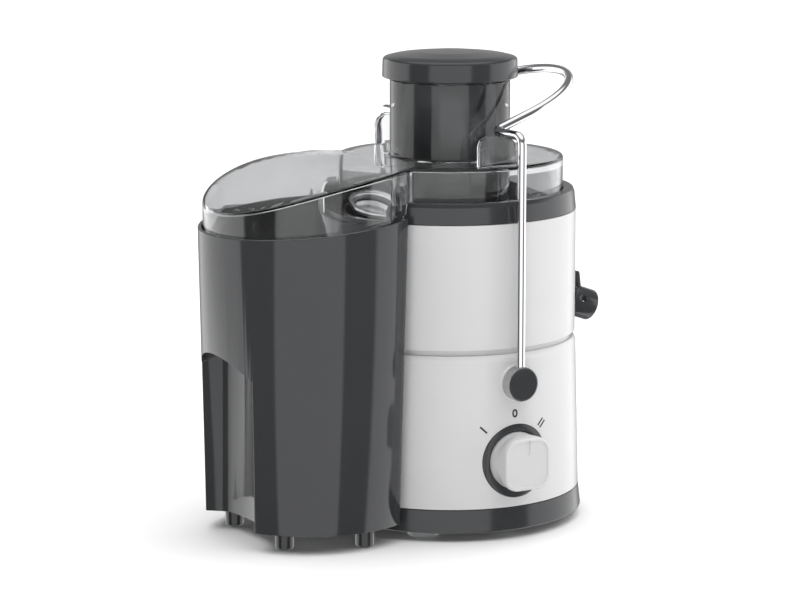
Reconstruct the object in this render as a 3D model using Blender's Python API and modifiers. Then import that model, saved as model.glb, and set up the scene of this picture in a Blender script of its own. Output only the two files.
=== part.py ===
"""Centrifugal juicer with a pulp container at its side, as an assembly of separate pieces.

Metres, +Z up. The pieces are laid out about the spindle: +X towards the spout, -X towards the
pulp container and -Y towards the speed knob. One empty carries them all, so that the middle
of the object's base comes to the origin.
"""

import math

import bmesh
import bpy
from mathutils import Matrix, Vector

MM = 0.001

# ---- clearances and walls ----
GAP = 0.3 * MM  # between pieces that seat on each other
RUNNING = 0.15 * MM  # radial, round a turning shaft
WALL = 2.5 * MM  # casings
THIN_WALL = 2.2 * MM  # lid, bowl and container

# ---- heights, from the table up ----
FOOT_HEIGHT = 5.2 * MM
SKIRT_HEIGHT = 14.6 * MM
HOUSING_HEIGHT = 94.9 * MM
SEAM_HEIGHT = 3.3 * MM  # groove between the housing and the bowl shell
SHELL_HEIGHT = 77.3 * MM
RIM_HEIGHT = 12.7 * MM
LID_HEIGHT = 20.3 * MM
TUBE_ABOVE_LID = 47.2 * MM
CAP_HEIGHT = 16.4 * MM

# ---- radii about the spindle ----
BODY_RADIUS = 79.0 * MM  # bowl shell, outside
HOUSING_FLARE = 3.0 * MM  # how much wider the housing's foot is
SKIRT_FLARE = 4.6 * MM
RIM_WIDTH = 8.0 * MM  # flat top of the bowl's rim
TUBE_RADIUS = 37.5 * MM
CAP_OVERHANG = 4.8 * MM  # pusher cap, past the feed tube
SIEVE_INSET = 7.3 * MM  # sieve's rim, inside the bowl's rim
SHAFT_RADIUS = 4.0 * MM
VENT_CIRCLE = 27.0 * MM

# ---- pulp container ----
CONTAINER_RADIUS = 68.0 * MM  # at the rim
CONTAINER_TAPER = 3.0 * MM
CONTAINER_REACH = 89.0 * MM  # rim's far end, past the bowl shell
CONTAINER_CORNER = 5.0 * MM
CONTAINER_BASE = 11.5 * MM
RIM_SLOPE = 0.09  # the rim drops this much per metre, away from the body
RECESS_FLAT = 21.0 * MM  # half width of its flat wall
RECESS_CORNER = 12.0 * MM
RECESS_FLARE = 50  # degrees that each side turns out from the flat wall
RECESS_DEPTH = 24.8 * MM
RECESS_HEIGHT = 106.0 * MM
PIN_FOOT_RADIUS = 5.75 * MM
PIN_FOOT_INSET = 16.0 * MM

# ---- lid ----
HOOD_BEND_RADIUS = 225.0 * MM
HOOD_PLUG = 3.0 * MM  # how far the hood reaches down into the container
LUG_THICKNESS = 3.0 * MM
LUG_INSET = 7.7 * MM
CHUTE_HALF_WIDTH = 38.0 * MM  # gap in the bowl's rim that pulp leaves by

# ---- locking bail ----
WIRE_RADIUS = 2.75 * MM
HUB_RADIUS = 10.3 * MM
HUB_LENGTH = 6.7 * MM
PIVOT_BELOW_DECK = 17.7 * MM
BAR_ABOVE_LID = 20.1 * MM
LOOP_INSET = 10.0 * MM  # loop's side, inside the lid's lug
LOOP_STRAIGHT = 25.0 * MM  # before the loop's round end
LOOP_SLOPE = 0.37

# ---- speed knob ----
KNOB_RADIUS = 17.9 * MM
KNOB_FACE = 30.5 * MM
KNOB_LENGTH = 16.8 * MM
KNOB_HEIGHT = 28.5 * MM  # its axis, above the skirt
DIAL_RADIUS = 22.0 * MM
KNOB_SUNK = 3.3 * MM  # the knob's foot sits in a dished dial

# ---- spout ----
SPOUT_ANGLE = math.radians(20)
SPOUT_RADIUS = 10.0 * MM
SPOUT_LENGTH = 11.8 * MM  # from its pivot to its mouth
SPOUT_PIVOT_OUT = 16.3 * MM  # pivot, past the bowl shell
SPOUT_PIVOT_UP = 11.0 * MM  # pivot, above the shell's foot
SPOUT_DROP = 2.5 * MM  # bore, below the pivot
SPOUT_WALL = 1.6 * MM
NECK_RADIUS = 4.7 * MM
NECK_BORE = 3.4 * MM

# ---- levels and radii that follow ----
Z_SKIRT = FOOT_HEIGHT
Z_HOUSING = Z_SKIRT + SKIRT_HEIGHT
Z_DECK = Z_HOUSING + HOUSING_HEIGHT
Z_SHELL = Z_DECK + SEAM_HEIGHT
Z_RIM = Z_SHELL + SHELL_HEIGHT
Z_LID = Z_RIM + RIM_HEIGHT
Z_LID_TOP = Z_LID + LID_HEIGHT
Z_TUBE_TOP = Z_LID_TOP + TUBE_ABOVE_LID
Z_CAP = Z_TUBE_TOP + 1.3 * MM
Z_PIVOT = Z_DECK - PIVOT_BELOW_DECK
Z_BAR = Z_LID_TOP + BAR_ABOVE_LID
Z_KNOB = Z_HOUSING + KNOB_HEIGHT
Z_LEDGE = Z_RIM + 4.2 * MM  # inside the rim, under the lid's edge
Z_BOWL_FLOOR = Z_SHELL + 8.5 * MM
Z_SIEVE_BASE = Z_RIM - 26.0 * MM

RIM_BORE = BODY_RADIUS - RIM_WIDTH
SIEVE_RADIUS = RIM_BORE - SIEVE_INSET
CAP_RADIUS = TUBE_RADIUS + CAP_OVERHANG
LID_RADIUS = RIM_BORE - GAP
BOWL_RADIUS = BODY_RADIUS - WALL - 1.3 * MM
HOUSING_TOP_RADIUS = BODY_RADIUS + 0.5 * MM
HOUSING_FOOT_RADIUS = BODY_RADIUS + HOUSING_FLARE
SKIRT_RADIUS = BODY_RADIUS + SKIRT_FLARE
TUBE_BORE = TUBE_RADIUS - WALL
PLUNGER_RADIUS = TUBE_BORE - 0.6 * MM
PLATE_TOP = Z_SKIRT + 5.3 * MM
SCREW_CIRCLE = BODY_RADIUS - 8.0 * MM
FOOT_CIRCLE = SKIRT_RADIUS - 19.9 * MM

CONTAINER_X = CONTAINER_RADIUS - BODY_RADIUS - CONTAINER_REACH
HOLLOW_RADIUS = SKIRT_RADIUS + 1.4 * MM  # of the container's body side, at its base
HOLLOW_TOP_RADIUS = BODY_RADIUS + 1.5 * MM
HOOD_RADIUS = CONTAINER_RADIUS - THIN_WALL - 0.8 * MM
HOOD_BEND_X = CONTAINER_X + 40.0 * MM

HUB_START = HOUSING_FOOT_RADIUS - 0.8 * MM
WIRE_Y = HUB_START + 3.35 * MM
CAP_FACE = HUB_START + HUB_LENGTH + 0.9 * MM
LUG_Y = LID_RADIUS - LUG_INSET
LOOP_HALF_WIDTH = LUG_Y - LOOP_INSET
LOOP_REACH = LOOP_HALF_WIDTH + LOOP_STRAIGHT
KNOB_START = HOUSING_FOOT_RADIUS - 0.8 * MM - KNOB_SUNK
KNOB_FRONT = KNOB_START + KNOB_LENGTH
SPOUT_PIVOT = (BODY_RADIUS + SPOUT_PIVOT_OUT, 0.0, Z_SHELL + SPOUT_PIVOT_UP)

X_LOW = CONTAINER_X - CONTAINER_RADIUS
X_HIGH = (
    SPOUT_PIVOT[0]
    + SPOUT_LENGTH * math.cos(SPOUT_ANGLE)
    + (SPOUT_RADIUS - SPOUT_DROP) * math.sin(SPOUT_ANGLE)
)
BASE_CENTRE = Vector((-(X_LOW + X_HIGH) / 2, (KNOB_FRONT - CAP_FACE) / 2, 0))

ROUND = 40  # sides of the large round pieces
MEDIUM = 20
SMALL = 12

# many cuts meet on shared edges in these, which the exact solver leaves open
MANY_CUTS = {"bottom_plate", "lower_housing", "lid"}

TURN_TO = {
    "+Z": Matrix.Identity(4),
    "-Y": Matrix.Rotation(math.radians(90), 4, "X"),
    "+Y": Matrix.Rotation(math.radians(-90), 4, "X"),
    "+X": Matrix.Rotation(math.radians(90), 4, "Y"),
}


# ---- scene, materials and frames ----


def new_collection(name, hidden=False):
    collection = bpy.data.collections.new(name)
    bpy.context.scene.collection.children.link(collection)
    collection.hide_render = hidden
    return collection


def material(name, colour, roughness, metallic=0.0, transmission=0.0):
    made = bpy.data.materials.new(name)
    made.use_nodes = True
    shader = made.node_tree.nodes["Principled BSDF"]
    shader.inputs["Base Color"].default_value = (*colour, 1.0)
    shader.inputs["Roughness"].default_value = roughness
    shader.inputs["Metallic"].default_value = metallic
    shader.inputs["Transmission Weight"].default_value = transmission
    made.diffuse_color = (*colour, 1.0 - 0.6 * transmission)
    return made


def empty(name, at=(0, 0, 0), parent=None, turn=None):
    made = bpy.data.objects.new(name, None)
    PARTS.objects.link(made)
    made.empty_display_size = 0.01
    made.parent = parent
    made.matrix_local = Matrix.Translation(at) @ (turn or Matrix.Identity(4))
    return made


def place(name, mesh, parent, finish, at=(0, 0, 0), facing="+Z"):
    """A node when it has a finish, and a cutter or a piece to be joined when it has none."""
    made = bpy.data.objects.new(name, mesh)
    (PARTS if finish else CUTTERS).objects.link(made)
    made.parent = parent
    made.matrix_local = Matrix.Translation(at) @ TURN_TO[facing]
    if finish:
        mesh.materials.clear()
        mesh.materials.append(finish)
    else:
        made.hide_render = True
        made.display_type = "WIRE"
    return made


# ---- shapes ----


def turned(name, profile, parent, finish=None, at=(0, 0, 0), facing="+Z", sides=ROUND, ring=False):
    """A profile of (radius, height) points turned about the height axis."""
    count = len(profile)
    edges = [(i, (i + 1) % count) for i in range(count if ring else count - 1)]
    mesh = bpy.data.meshes.new(name)
    mesh.from_pydata([(radius, 0, height) for radius, height in profile], edges, [])
    made = place(name, mesh, parent, finish, at, facing)
    screw = made.modifiers.new("turn", "SCREW")
    screw.steps = sides
    screw.render_steps = sides
    screw.use_merge_vertices = True
    screw.merge_threshold = 0.00001
    return made


def rod(name, radius, low, high, parent, finish=None, at=(0, 0, 0), facing="+Z", sides=MEDIUM, bore=0.0):
    """A cylinder from low to high, or a tube when it has a bore."""
    if bore:
        profile = [(radius, high), (radius, low), (bore, low), (bore, high)]
        return turned(name, profile, parent, finish, at, facing, sides, ring=True)
    profile = [(0, high), (radius, high), (radius, low), (0, low)]
    return turned(name, profile, parent, finish, at, facing, sides)


def loft(name, sections, parent, finish=None, at=(0, 0, 0), facing="+Z"):
    """A closed skin through sections that have the same number of points."""
    shape = bmesh.new()
    rows = [[shape.verts.new(point) for point in section] for section in sections]
    for low, high in zip(rows, rows[1:]):
        for i in range(len(low)):
            j = (i + 1) % len(low)
            shape.faces.new((low[i], low[j], high[j], high[i]))
    shape.faces.new(rows[0])
    shape.faces.new(rows[-1])
    bmesh.ops.recalc_face_normals(shape, faces=shape.faces)
    mesh = bpy.data.meshes.new(name)
    shape.to_mesh(mesh)
    shape.free()
    return place(name, mesh, parent, finish, at, facing)


def prism(name, outline, low, high, parent, finish=None, at=(0, 0, 0), along="Z"):
    """A flat outline carried from low to high along an axis."""
    spread = {
        "X": lambda a, b, c: (c, a, b),
        "Y": lambda a, b, c: (a, c, b),
        "Z": lambda a, b, c: (a, b, c),
    }[along]
    sections = [[spread(a, b, level) for a, b in outline] for level in (low, high)]
    return loft(name, sections, parent, finish, at)


def box(name, low, high, parent, finish=None, at=(0, 0, 0)):
    outline = [(low[0], low[1]), (high[0], low[1]), (high[0], high[1]), (low[0], high[1])]
    return prism(name, outline, low[2], high[2], parent, finish, at)


def arc(centre, radius, start, end, count):
    """Points of an arc between two angles in degrees, both ends included."""
    angles = [math.radians(start + (end - start) * i / count) for i in range(count + 1)]
    return [(centre[0] + radius * math.cos(a), centre[1] + radius * math.sin(a)) for a in angles]


def combine(target, tool, operation):
    modifier = target.modifiers.new(f"{operation.lower()} {tool.name}", "BOOLEAN")
    modifier.operation = operation
    modifier.object = tool
    modifier.solver = "MANIFOLD" if target.name in MANY_CUTS else "EXACT"


def cut(target, *tools):
    for tool in tools:
        combine(target, tool, "DIFFERENCE")


def join(target, *tools):
    for tool in tools:
        combine(target, tool, "UNION")


def around(radius, start, count=4):
    """Points evenly spaced on a circle, with their angles."""
    for i in range(count):
        angle = math.radians(start + 360 * i / count)
        yield i + 1, radius * math.cos(angle), radius * math.sin(angle), angle


def rounded_path(corners, radii, steps):
    """A path through 3D corners, each interior one turned on its own radius."""
    path = [Vector(corners[0])]
    for before, corner, after, radius in zip(corners, corners[1:], corners[2:], radii):
        corner = Vector(corner)
        back = (Vector(before) - corner).normalized()
        ahead = (Vector(after) - corner).normalized()
        half = back.angle(ahead) / 2
        centre = corner + (back + ahead).normalized() * (radius / math.sin(half))
        start = corner + back * (radius / math.tan(half)) - centre
        end = corner + ahead * (radius / math.tan(half)) - centre
        sweep = start.angle(end)
        for i in range(steps + 1):
            t = i / steps
            blend = start * math.sin((1 - t) * sweep) + end * math.sin(t * sweep)
            path.append(centre + blend / math.sin(sweep))
    path.append(Vector(corners[-1]))
    return path


def wire(name, path, radius, parent, finish):
    """A round wire along a path, capped at both ends."""
    curve = bpy.data.curves.new(name, "CURVE")
    curve.dimensions = "3D"
    curve.bevel_depth = radius
    curve.bevel_resolution = 2
    curve.use_fill_caps = True
    line = curve.splines.new("POLY")
    line.points.add(len(path) - 1)
    for point, place_on in zip(line.points, path):
        point.co = (*place_on, 1)
    curve.materials.append(finish)
    made = bpy.data.objects.new(name, curve)
    PARTS.objects.link(made)
    made.parent = parent
    return made


# ---- base: skirt, bottom plate, feet and screws ----


def housing_radius(height):
    """Outer radius of the lower housing's wall at a height."""
    share = (height - Z_HOUSING) / HOUSING_HEIGHT
    return HOUSING_FOOT_RADIUS + share * (HOUSING_TOP_RADIUS - HOUSING_FOOT_RADIUS)


def build_base(root):
    top = Z_HOUSING - GAP
    ledge = Z_SKIRT + WALL
    turned(
        "base_skirt",
        [
            (HOUSING_FOOT_RADIUS, top),
            (SKIRT_RADIUS, Z_SKIRT),
            (SKIRT_RADIUS - 6.6 * MM, Z_SKIRT),
            (SKIRT_RADIUS - 6.6 * MM, ledge),
            (SKIRT_RADIUS - WALL, ledge),
            (HOUSING_FOOT_RADIUS - WALL, top),
        ],
        root,
        DARK,
        ring=True,
    )
    plate_low = ledge + GAP
    plate = rod("bottom_plate", SKIRT_RADIUS - 3.2 * MM, plate_low, PLATE_TOP, root, DARK, sides=ROUND)
    stem = 3.2 * MM
    foot_profile = [
        (0, PLATE_TOP + 1.5 * MM),
        (stem, PLATE_TOP + 1.5 * MM),
        (stem, plate_low - GAP),
        (5.5 * MM, plate_low - GAP),
        (5.5 * MM, 4.9 * MM),
        (9.6 * MM, 4.4 * MM),
        (10.0 * MM, 0),
        (0, 0),
    ]
    for i, x, y, _ in around(FOOT_CIRCLE, 45):
        turned(f"suction_foot_{i}", foot_profile, root, CLEAR_RUBBER, (x, y, 0), sides=16)
        cut(plate, rod(f"foot_hole_{i}", stem + GAP, 0, 2 * PLATE_TOP, root, at=(x, y, 0), sides=SMALL))
    shank = 1.75 * MM
    screw_profile = [
        (0, Z_HOUSING + 10 * MM),
        (shank, Z_HOUSING + 10 * MM),
        (shank, plate_low - GAP),
        (4.0 * MM, plate_low - GAP),
        (3.6 * MM, plate_low - 2.2 * MM),
        (0, plate_low - 2.2 * MM),
    ]
    for i, x, y, _ in around(SCREW_CIRCLE, 0):
        turned(f"bottom_screw_{i}", screw_profile, root, STEEL, (x, y, 0), sides=SMALL)
        cut(plate, rod(f"screw_hole_{i}", shank + GAP, 0, 2 * PLATE_TOP, root, at=(x, y, 0), sides=SMALL))
    slot_half = 2.0 * MM
    for i, x, y, angle in around(VENT_CIRCLE, 0, 6):
        slot = box(
            f"vent_slot_{i}",
            (-9 * MM, -slot_half, 0),
            (9 * MM, slot_half, 2 * PLATE_TOP),
            root,
            at=(x, y, 0),
        )
        slot.rotation_euler.z = angle
        cut(plate, slot)


# ---- lower housing ----


def build_housing(root):
    spigot = BODY_RADIUS - WALL - GAP
    spigot_top = Z_SHELL + 4.0 * MM
    bevel = 4.2 * MM
    seal_hole = 12.3 * MM
    housing = turned(
        "lower_housing",
        [
            (spigot, spigot_top),
            (spigot, Z_DECK),
            (HOUSING_TOP_RADIUS - 1.4 * MM, Z_DECK),
            (HOUSING_TOP_RADIUS - 0.3 * MM, Z_DECK - 0.5 * bevel),
            (housing_radius(Z_DECK - bevel), Z_DECK - bevel),
            (HOUSING_FOOT_RADIUS, Z_HOUSING),
            (HOUSING_FOOT_RADIUS - WALL, Z_HOUSING),
            (HOUSING_TOP_RADIUS - WALL, Z_DECK - WALL),
            (seal_hole, Z_DECK - WALL),
            (seal_hole, Z_DECK),
            (spigot - THIN_WALL, Z_DECK),
            (spigot - THIN_WALL, spigot_top),
        ],
        root,
        WHITE,
        ring=True,
    )
    post = 7.0 * MM
    for i, x, y, _ in around(SCREW_CIRCLE, 0):
        stepped = [
            (0, Z_HOUSING + 24 * MM),
            (post, Z_HOUSING + 24 * MM),
            (post, Z_HOUSING + 0.5 * MM),
            (post - 2 * MM, Z_HOUSING + 0.5 * MM),
            (post - 2 * MM, PLATE_TOP + GAP),
            (0, PLATE_TOP + GAP),
        ]
        # the post leans outwards into the wall
        outward = 1 + 2.0 * MM / SCREW_CIRCLE
        join(housing, turned(f"screw_post_{i}", stepped, root, at=(x * outward, y * outward, 0), sides=SMALL))
    for i, x, y, _ in around(SCREW_CIRCLE, 0):
        cut(housing, rod(f"post_hole_{i}", 2.1 * MM, 0, Z_HOUSING + 12 * MM, root, at=(x, y, 0), sides=SMALL))
    for i, x, y, _ in around(38 * MM, 45):
        hanger = rod(
            f"bracket_post_{i}", 4.5 * MM, Z_DECK - 7.4 * MM, Z_DECK - 1.2 * MM, root, at=(x, y, 0), sides=SMALL
        )
        join(housing, hanger)
    for name, facing in (("near", "-Y"), ("far", "+Y")):
        boss = [
            (0, HUB_START - GAP),
            (HUB_RADIUS + 0.6 * MM, HUB_START - GAP),
            (HUB_RADIUS + 2.6 * MM, BODY_RADIUS - 1.5 * MM),
            (0, BODY_RADIUS - 1.5 * MM),
        ]
        join(housing, turned(f"boss_{name}", boss, root, at=(0, 0, Z_PIVOT), facing=facing, sides=MEDIUM))
    pivot_hole = rod(
        "pivot_hole", 3.3 * MM, -HUB_START, HUB_START, root, at=(0, 0, Z_PIVOT), facing="+Y", sides=SMALL
    )
    dial_hole = rod(
        "dial_hole", DIAL_RADIUS + GAP, 0, KNOB_FRONT, root, at=(0, 0, Z_KNOB), facing="-Y", sides=ROUND
    )
    cord_hole = rod(
        "cord_hole", 6.3 * MM, 0, KNOB_FRONT, root, at=(0, 0, Z_HOUSING + 10 * MM), facing="+Y", sides=MEDIUM
    )
    # the cutters run from the middle of the hollow, so each opens one wall only
    cut(housing, pivot_hole, dial_hole, cord_hole)
    rod(
        "shaft_seal",
        seal_hole - GAP,
        Z_DECK - 3.5 * MM,
        Z_DECK + 2.0 * MM,
        root,
        RUBBER,
        bore=SHAFT_RADIUS + RUNNING,
    )
    collar = 8.2 * MM
    back = housing_radius(Z_HOUSING + 10 * MM)
    turned(
        "cord_inlet",
        [
            (collar, back + 2.4 * MM),
            (collar, back + GAP),
            (6.0 * MM, back + GAP),
            (6.0 * MM, back - 6 * MM),
            (3.6 * MM, back - 6 * MM),
            (3.6 * MM, back + 2.4 * MM),
        ],
        root,
        RUBBER,
        (0, 0, Z_HOUSING + 10 * MM),
        "+Y",
        MEDIUM,
        ring=True,
    )


# ---- motor and its switches ----


def build_motor(root, drive):
    low = PLATE_TOP + 5.5 * MM
    stator_low = Z_HOUSING + 30 * MM
    stator_high = stator_low + 36 * MM
    upper = Z_DECK - 18.5 * MM
    bearing_radius = 11.0 * MM
    armature = 20.5 * MM
    bore = SHAFT_RADIUS + RUNNING
    rod("motor_stator", 40 * MM, stator_low, stator_high, root, STEEL, bore=armature + 1.0 * MM, sides=ROUND)
    rod("bearing_lower", bearing_radius, low + 2 * MM, low + 9 * MM, root, STEEL, bore=bore)
    rod("bearing_upper", bearing_radius, upper + 2 * MM, upper + 9 * MM, root, STEEL, bore=bore)
    hub = bearing_radius + GAP
    lip = SHAFT_RADIUS + 2.5 * MM
    turned(
        "lower_bracket",
        [
            (40 * MM, low + 12 * MM),
            (40 * MM, low + 9 * MM),
            (hub + 3.5 * MM, low + 9 * MM),
            (hub + 3.5 * MM, low),
            (lip, low),
            (lip, low + 1.7 * MM),
            (hub, low + 1.7 * MM),
            (hub, low + 12 * MM),
        ],
        root,
        STEEL,
        sides=MEDIUM,
        ring=True,
    )
    turned(
        "upper_bracket",
        [
            (44 * MM, upper + 10.8 * MM),
            (44 * MM, upper + 8.3 * MM),
            (hub + 3.5 * MM, upper + 8.3 * MM),
            (hub + 3.5 * MM, upper),
            (lip, upper),
            (lip, upper + 1.7 * MM),
            (hub, upper + 1.7 * MM),
            (hub, upper + 10.8 * MM),
        ],
        root,
        STEEL,
        sides=MEDIUM,
        ring=True,
    )
    rod("motor_shaft", SHAFT_RADIUS, low + 1.7 * MM, Z_SIEVE_BASE - 8 * MM, drive, STEEL)
    rod("motor_armature", armature, stator_low + 2 * MM, stator_high - 2 * MM, drive, COPPER, bore=bore)
    commutator = 12.0 * MM
    rod("commutator", commutator, upper - 9 * MM, upper - 1.5 * MM, drive, COPPER, bore=bore)
    fan = rod("cooling_fan", 34 * MM, low + 16 * MM, low + 17.5 * MM, drive, WHITE, bore=bore, sides=MEDIUM)
    join(fan, rod("fan_hub", 9 * MM, low + 16 * MM, low + 24 * MM, drive, bore=bore))
    for i, x, y, angle in around(21 * MM, 0, 8):
        blade = box(
            f"fan_blade_{i}",
            (-13.2 * MM, -0.7 * MM, low + 16.8 * MM),
            (12 * MM, 0.7 * MM, low + 23 * MM),
            drive,
            at=(x, y, 0),
        )
        blade.rotation_euler.z = angle
        join(fan, blade)
    for side, name in ((-1, "brush_left"), (1, "brush_right")):
        near = side * (commutator + GAP)
        far = side * 30 * MM
        box(
            name,
            (min(near, far), -3 * MM, upper - 8 * MM),
            (max(near, far), 3 * MM, upper - 2.5 * MM),
            root,
            BRASS,
        )
    half = 12 * MM
    switch_front = KNOB_START - 15.9 * MM
    switch = box(
        "rotary_switch",
        (-half, -switch_front, Z_KNOB - half),
        (half, -switch_front + 17 * MM, Z_KNOB + half),
        root,
        DARK,
    )
    shaft = 3.0 * MM
    cut(
        switch,
        rod(
            "switch_socket",
            shaft + GAP,
            switch_front - 9 * MM,
            switch_front + 5 * MM,
            root,
            at=(0, 0, Z_KNOB),
            facing="-Y",
            sides=MEDIUM,
        ),
    )
    box(
        "safety_switch",
        (8 * MM, BODY_RADIUS - 19 * MM, Z_PIVOT - 3 * MM),
        (26 * MM, BODY_RADIUS - 11 * MM, Z_PIVOT + 8 * MM),
        root,
        DARK,
    )
    return shaft, switch_front


# ---- bowl: shell, rim, juice bowl, gasket ----


def build_bowl(root, spout):
    shell_top = Z_RIM - GAP
    shell = rod("bowl_shell", BODY_RADIUS, Z_SHELL, shell_top, root, WHITE, bore=BODY_RADIUS - WALL, sides=ROUND)
    rim = turned(
        "bowl_rim",
        [
            (BODY_RADIUS - 1.9 * MM, Z_LID),
            (BODY_RADIUS - 0.9 * MM, Z_LID - 2.4 * MM),
            (BODY_RADIUS + 0.1 * MM, Z_RIM),
            (SIEVE_RADIUS + 2.3 * MM, Z_RIM),
            (SIEVE_RADIUS + 2.3 * MM, Z_LEDGE),
            (RIM_BORE, Z_LEDGE),
            (RIM_BORE, Z_LID),
        ],
        root,
        DARK,
        ring=True,
    )
    tower = 15.0 * MM
    floor = Z_BOWL_FLOOR - WALL
    tower_top = Z_SIEVE_BASE - 20 * MM
    bowl = turned(
        "juice_bowl",
        [
            (BOWL_RADIUS, shell_top),
            (BOWL_RADIUS, floor),
            (tower, floor),
            (tower, tower_top),
            (tower + THIN_WALL, tower_top),
            (tower + THIN_WALL, Z_BOWL_FLOOR),
            (BOWL_RADIUS - THIN_WALL, Z_BOWL_FLOOR),
            (BOWL_RADIUS - THIN_WALL, shell_top),
        ],
        root,
        DARK,
        ring=True,
    )
    gasket = rod(
        "lid_gasket",
        RIM_BORE - 0.8 * MM,
        Z_LEDGE + GAP,
        Z_LEDGE + 1.7 * MM,
        root,
        RUBBER,
        bore=RIM_BORE - 4.2 * MM,
        sides=ROUND,
    )
    # pulp leaves the sieve over this lowered stretch of the rim
    chute = box(
        "pulp_chute",
        (CONTAINER_X, -CHUTE_HALF_WIDTH, Z_LEDGE + 0.8 * MM),
        (-TUBE_RADIUS - 2 * MM, CHUTE_HALF_WIDTH, Z_LID_TOP),
        root,
    )
    gasket_gap = box(
        "gasket_gap",
        (CONTAINER_X, -CHUTE_HALF_WIDTH, Z_LEDGE - 2 * MM),
        (-TUBE_RADIUS - 2 * MM, CHUTE_HALF_WIDTH, Z_LID_TOP),
        root,
    )
    cut(rim, chute)
    cut(gasket, gasket_gap)
    along = dict(at=(0, 0, -SPOUT_DROP), facing="+X")
    cut(bowl, rod("outlet_hole", NECK_RADIUS + GAP, -40 * MM, 0, spout, **along))
    collar = rod("spout_collar", 10 * MM, -22 * MM, -15.2 * MM, spout, **along)
    inside = rod("collar_trim", BODY_RADIUS - 1.2 * MM, Z_SHELL - 20 * MM, Z_RIM, root, sides=ROUND)
    cut(collar, inside)
    join(shell, collar)
    cut(shell, rod("neck_hole", NECK_RADIUS + 1.0 * MM, -40 * MM, 0, spout, **along))


# ---- sieve and grater, on the drive coupling ----


def build_sieve(drive):
    coupling = 11.0 * MM
    base_top = Z_SIEVE_BASE + 2.5 * MM
    foot = SIEVE_RADIUS - 15.7 * MM
    turned(
        "drive_coupling",
        [
            (coupling - 1.5 * MM, Z_SIEVE_BASE - 7 * MM),
            (coupling, Z_SIEVE_BASE - 12 * MM),
            (coupling, Z_SHELL + 3 * MM),
            (SHAFT_RADIUS + RUNNING, Z_SHELL + 3 * MM),
            (SHAFT_RADIUS + RUNNING, Z_SIEVE_BASE - 7 * MM),
        ],
        drive,
        DARK,
        sides=MEDIUM,
        ring=True,
    )
    socket = coupling + GAP
    turned(
        "sieve_base",
        [
            (3.4 * MM, base_top),
            (foot - GAP, base_top),
            (foot - 1.2 * MM, Z_SIEVE_BASE),
            (22.0 * MM, Z_SIEVE_BASE),
            (22.0 * MM, Z_SIEVE_BASE - 14 * MM),
            (19.5 * MM, Z_SIEVE_BASE - 14 * MM),
            (19.5 * MM, Z_SIEVE_BASE),
            (14.0 * MM, Z_SIEVE_BASE),
            (14.0 * MM, Z_SIEVE_BASE - 22 * MM),
            (socket, Z_SIEVE_BASE - 22 * MM),
            (socket, Z_SIEVE_BASE - 5 * MM),
            (3.4 * MM, Z_SIEVE_BASE - 3 * MM),
        ],
        drive,
        WHITE,
        sides=MEDIUM,
        ring=True,
    )
    sheet = 0.8 * MM
    top = Z_LEDGE + 1.0 * MM
    head = SIEVE_RADIUS - 1.9 * MM
    turned(
        "sieve_mesh",
        [
            (head, top),
            (foot + sheet, Z_SIEVE_BASE + 0.3 * MM),
            (foot, Z_SIEVE_BASE + 0.3 * MM),
            (head - sheet, top),
        ],
        drive,
        STEEL,
        ring=True,
    )
    rod(
        "sieve_rim",
        SIEVE_RADIUS,
        top + GAP,
        top + 2.6 * MM,
        drive,
        STEEL,
        bore=SIEVE_RADIUS - 3.2 * MM,
        sides=ROUND,
    )
    disc = foot - 2.2 * MM
    grater_top = base_top + 1.6 * MM
    grater = rod("grater_disc", disc, base_top + GAP, grater_top, drive, STEEL, bore=3.4 * MM, sides=ROUND)
    for ring, count in ((0.5, 8), (0.82, 12)):
        for i, x, y, angle in around(disc * ring, 180 * ring, count):
            tooth = box(
                f"tooth_{count}_{i}",
                (-1.6 * MM, -0.6 * MM, grater_top - 0.5 * MM),
                (1.6 * MM, 0.6 * MM, grater_top + 1.2 * MM),
                drive,
                at=(x, y, 0),
            )
            tooth.rotation_euler.z = angle + 0.6
            join(grater, tooth)
    turned(
        "grater_nut",
        [
            (0, grater_top + 3.2 * MM),
            (5.0 * MM, grater_top + 2.6 * MM),
            (7.5 * MM, grater_top + GAP),
            (3.0 * MM, grater_top + GAP),
            (3.0 * MM, base_top - 5.0 * MM),
            (0, base_top - 5.0 * MM),
        ],
        drive,
        STEEL,
        sides=MEDIUM,
    )


# ---- pulp container ----


def container_outline(radius, hollow, corner, height):
    """The container's plan: round outside, hollowed to the body, with two round corners."""
    reach = radius - corner
    clear = hollow + corner
    x = (clear**2 - reach**2 + CONTAINER_X**2) / (2 * CONTAINER_X)
    y = math.sqrt(clear**2 - x**2)
    outer = math.degrees(math.atan2(y, x - CONTAINER_X))
    inner = math.degrees(math.atan2(y, x))
    points = arc((CONTAINER_X, 0), radius, outer, 360 - outer, 40)
    points += arc((x, -y), corner, -outer, -inner + 180, 4)[1:-1]
    points += arc((0, 0), hollow, 360 - inner, inner, 16)
    points += arc((x, y), corner, inner - 180, outer, 4)[1:-1]
    return [(a, b, height(a)) for a, b in points]


def rim_height(x):
    """The container's rim, which slopes down away from the body."""
    return Z_RIM + 5.1 * MM + RIM_SLOPE * (x + BODY_RADIUS - 22 * MM)


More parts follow.
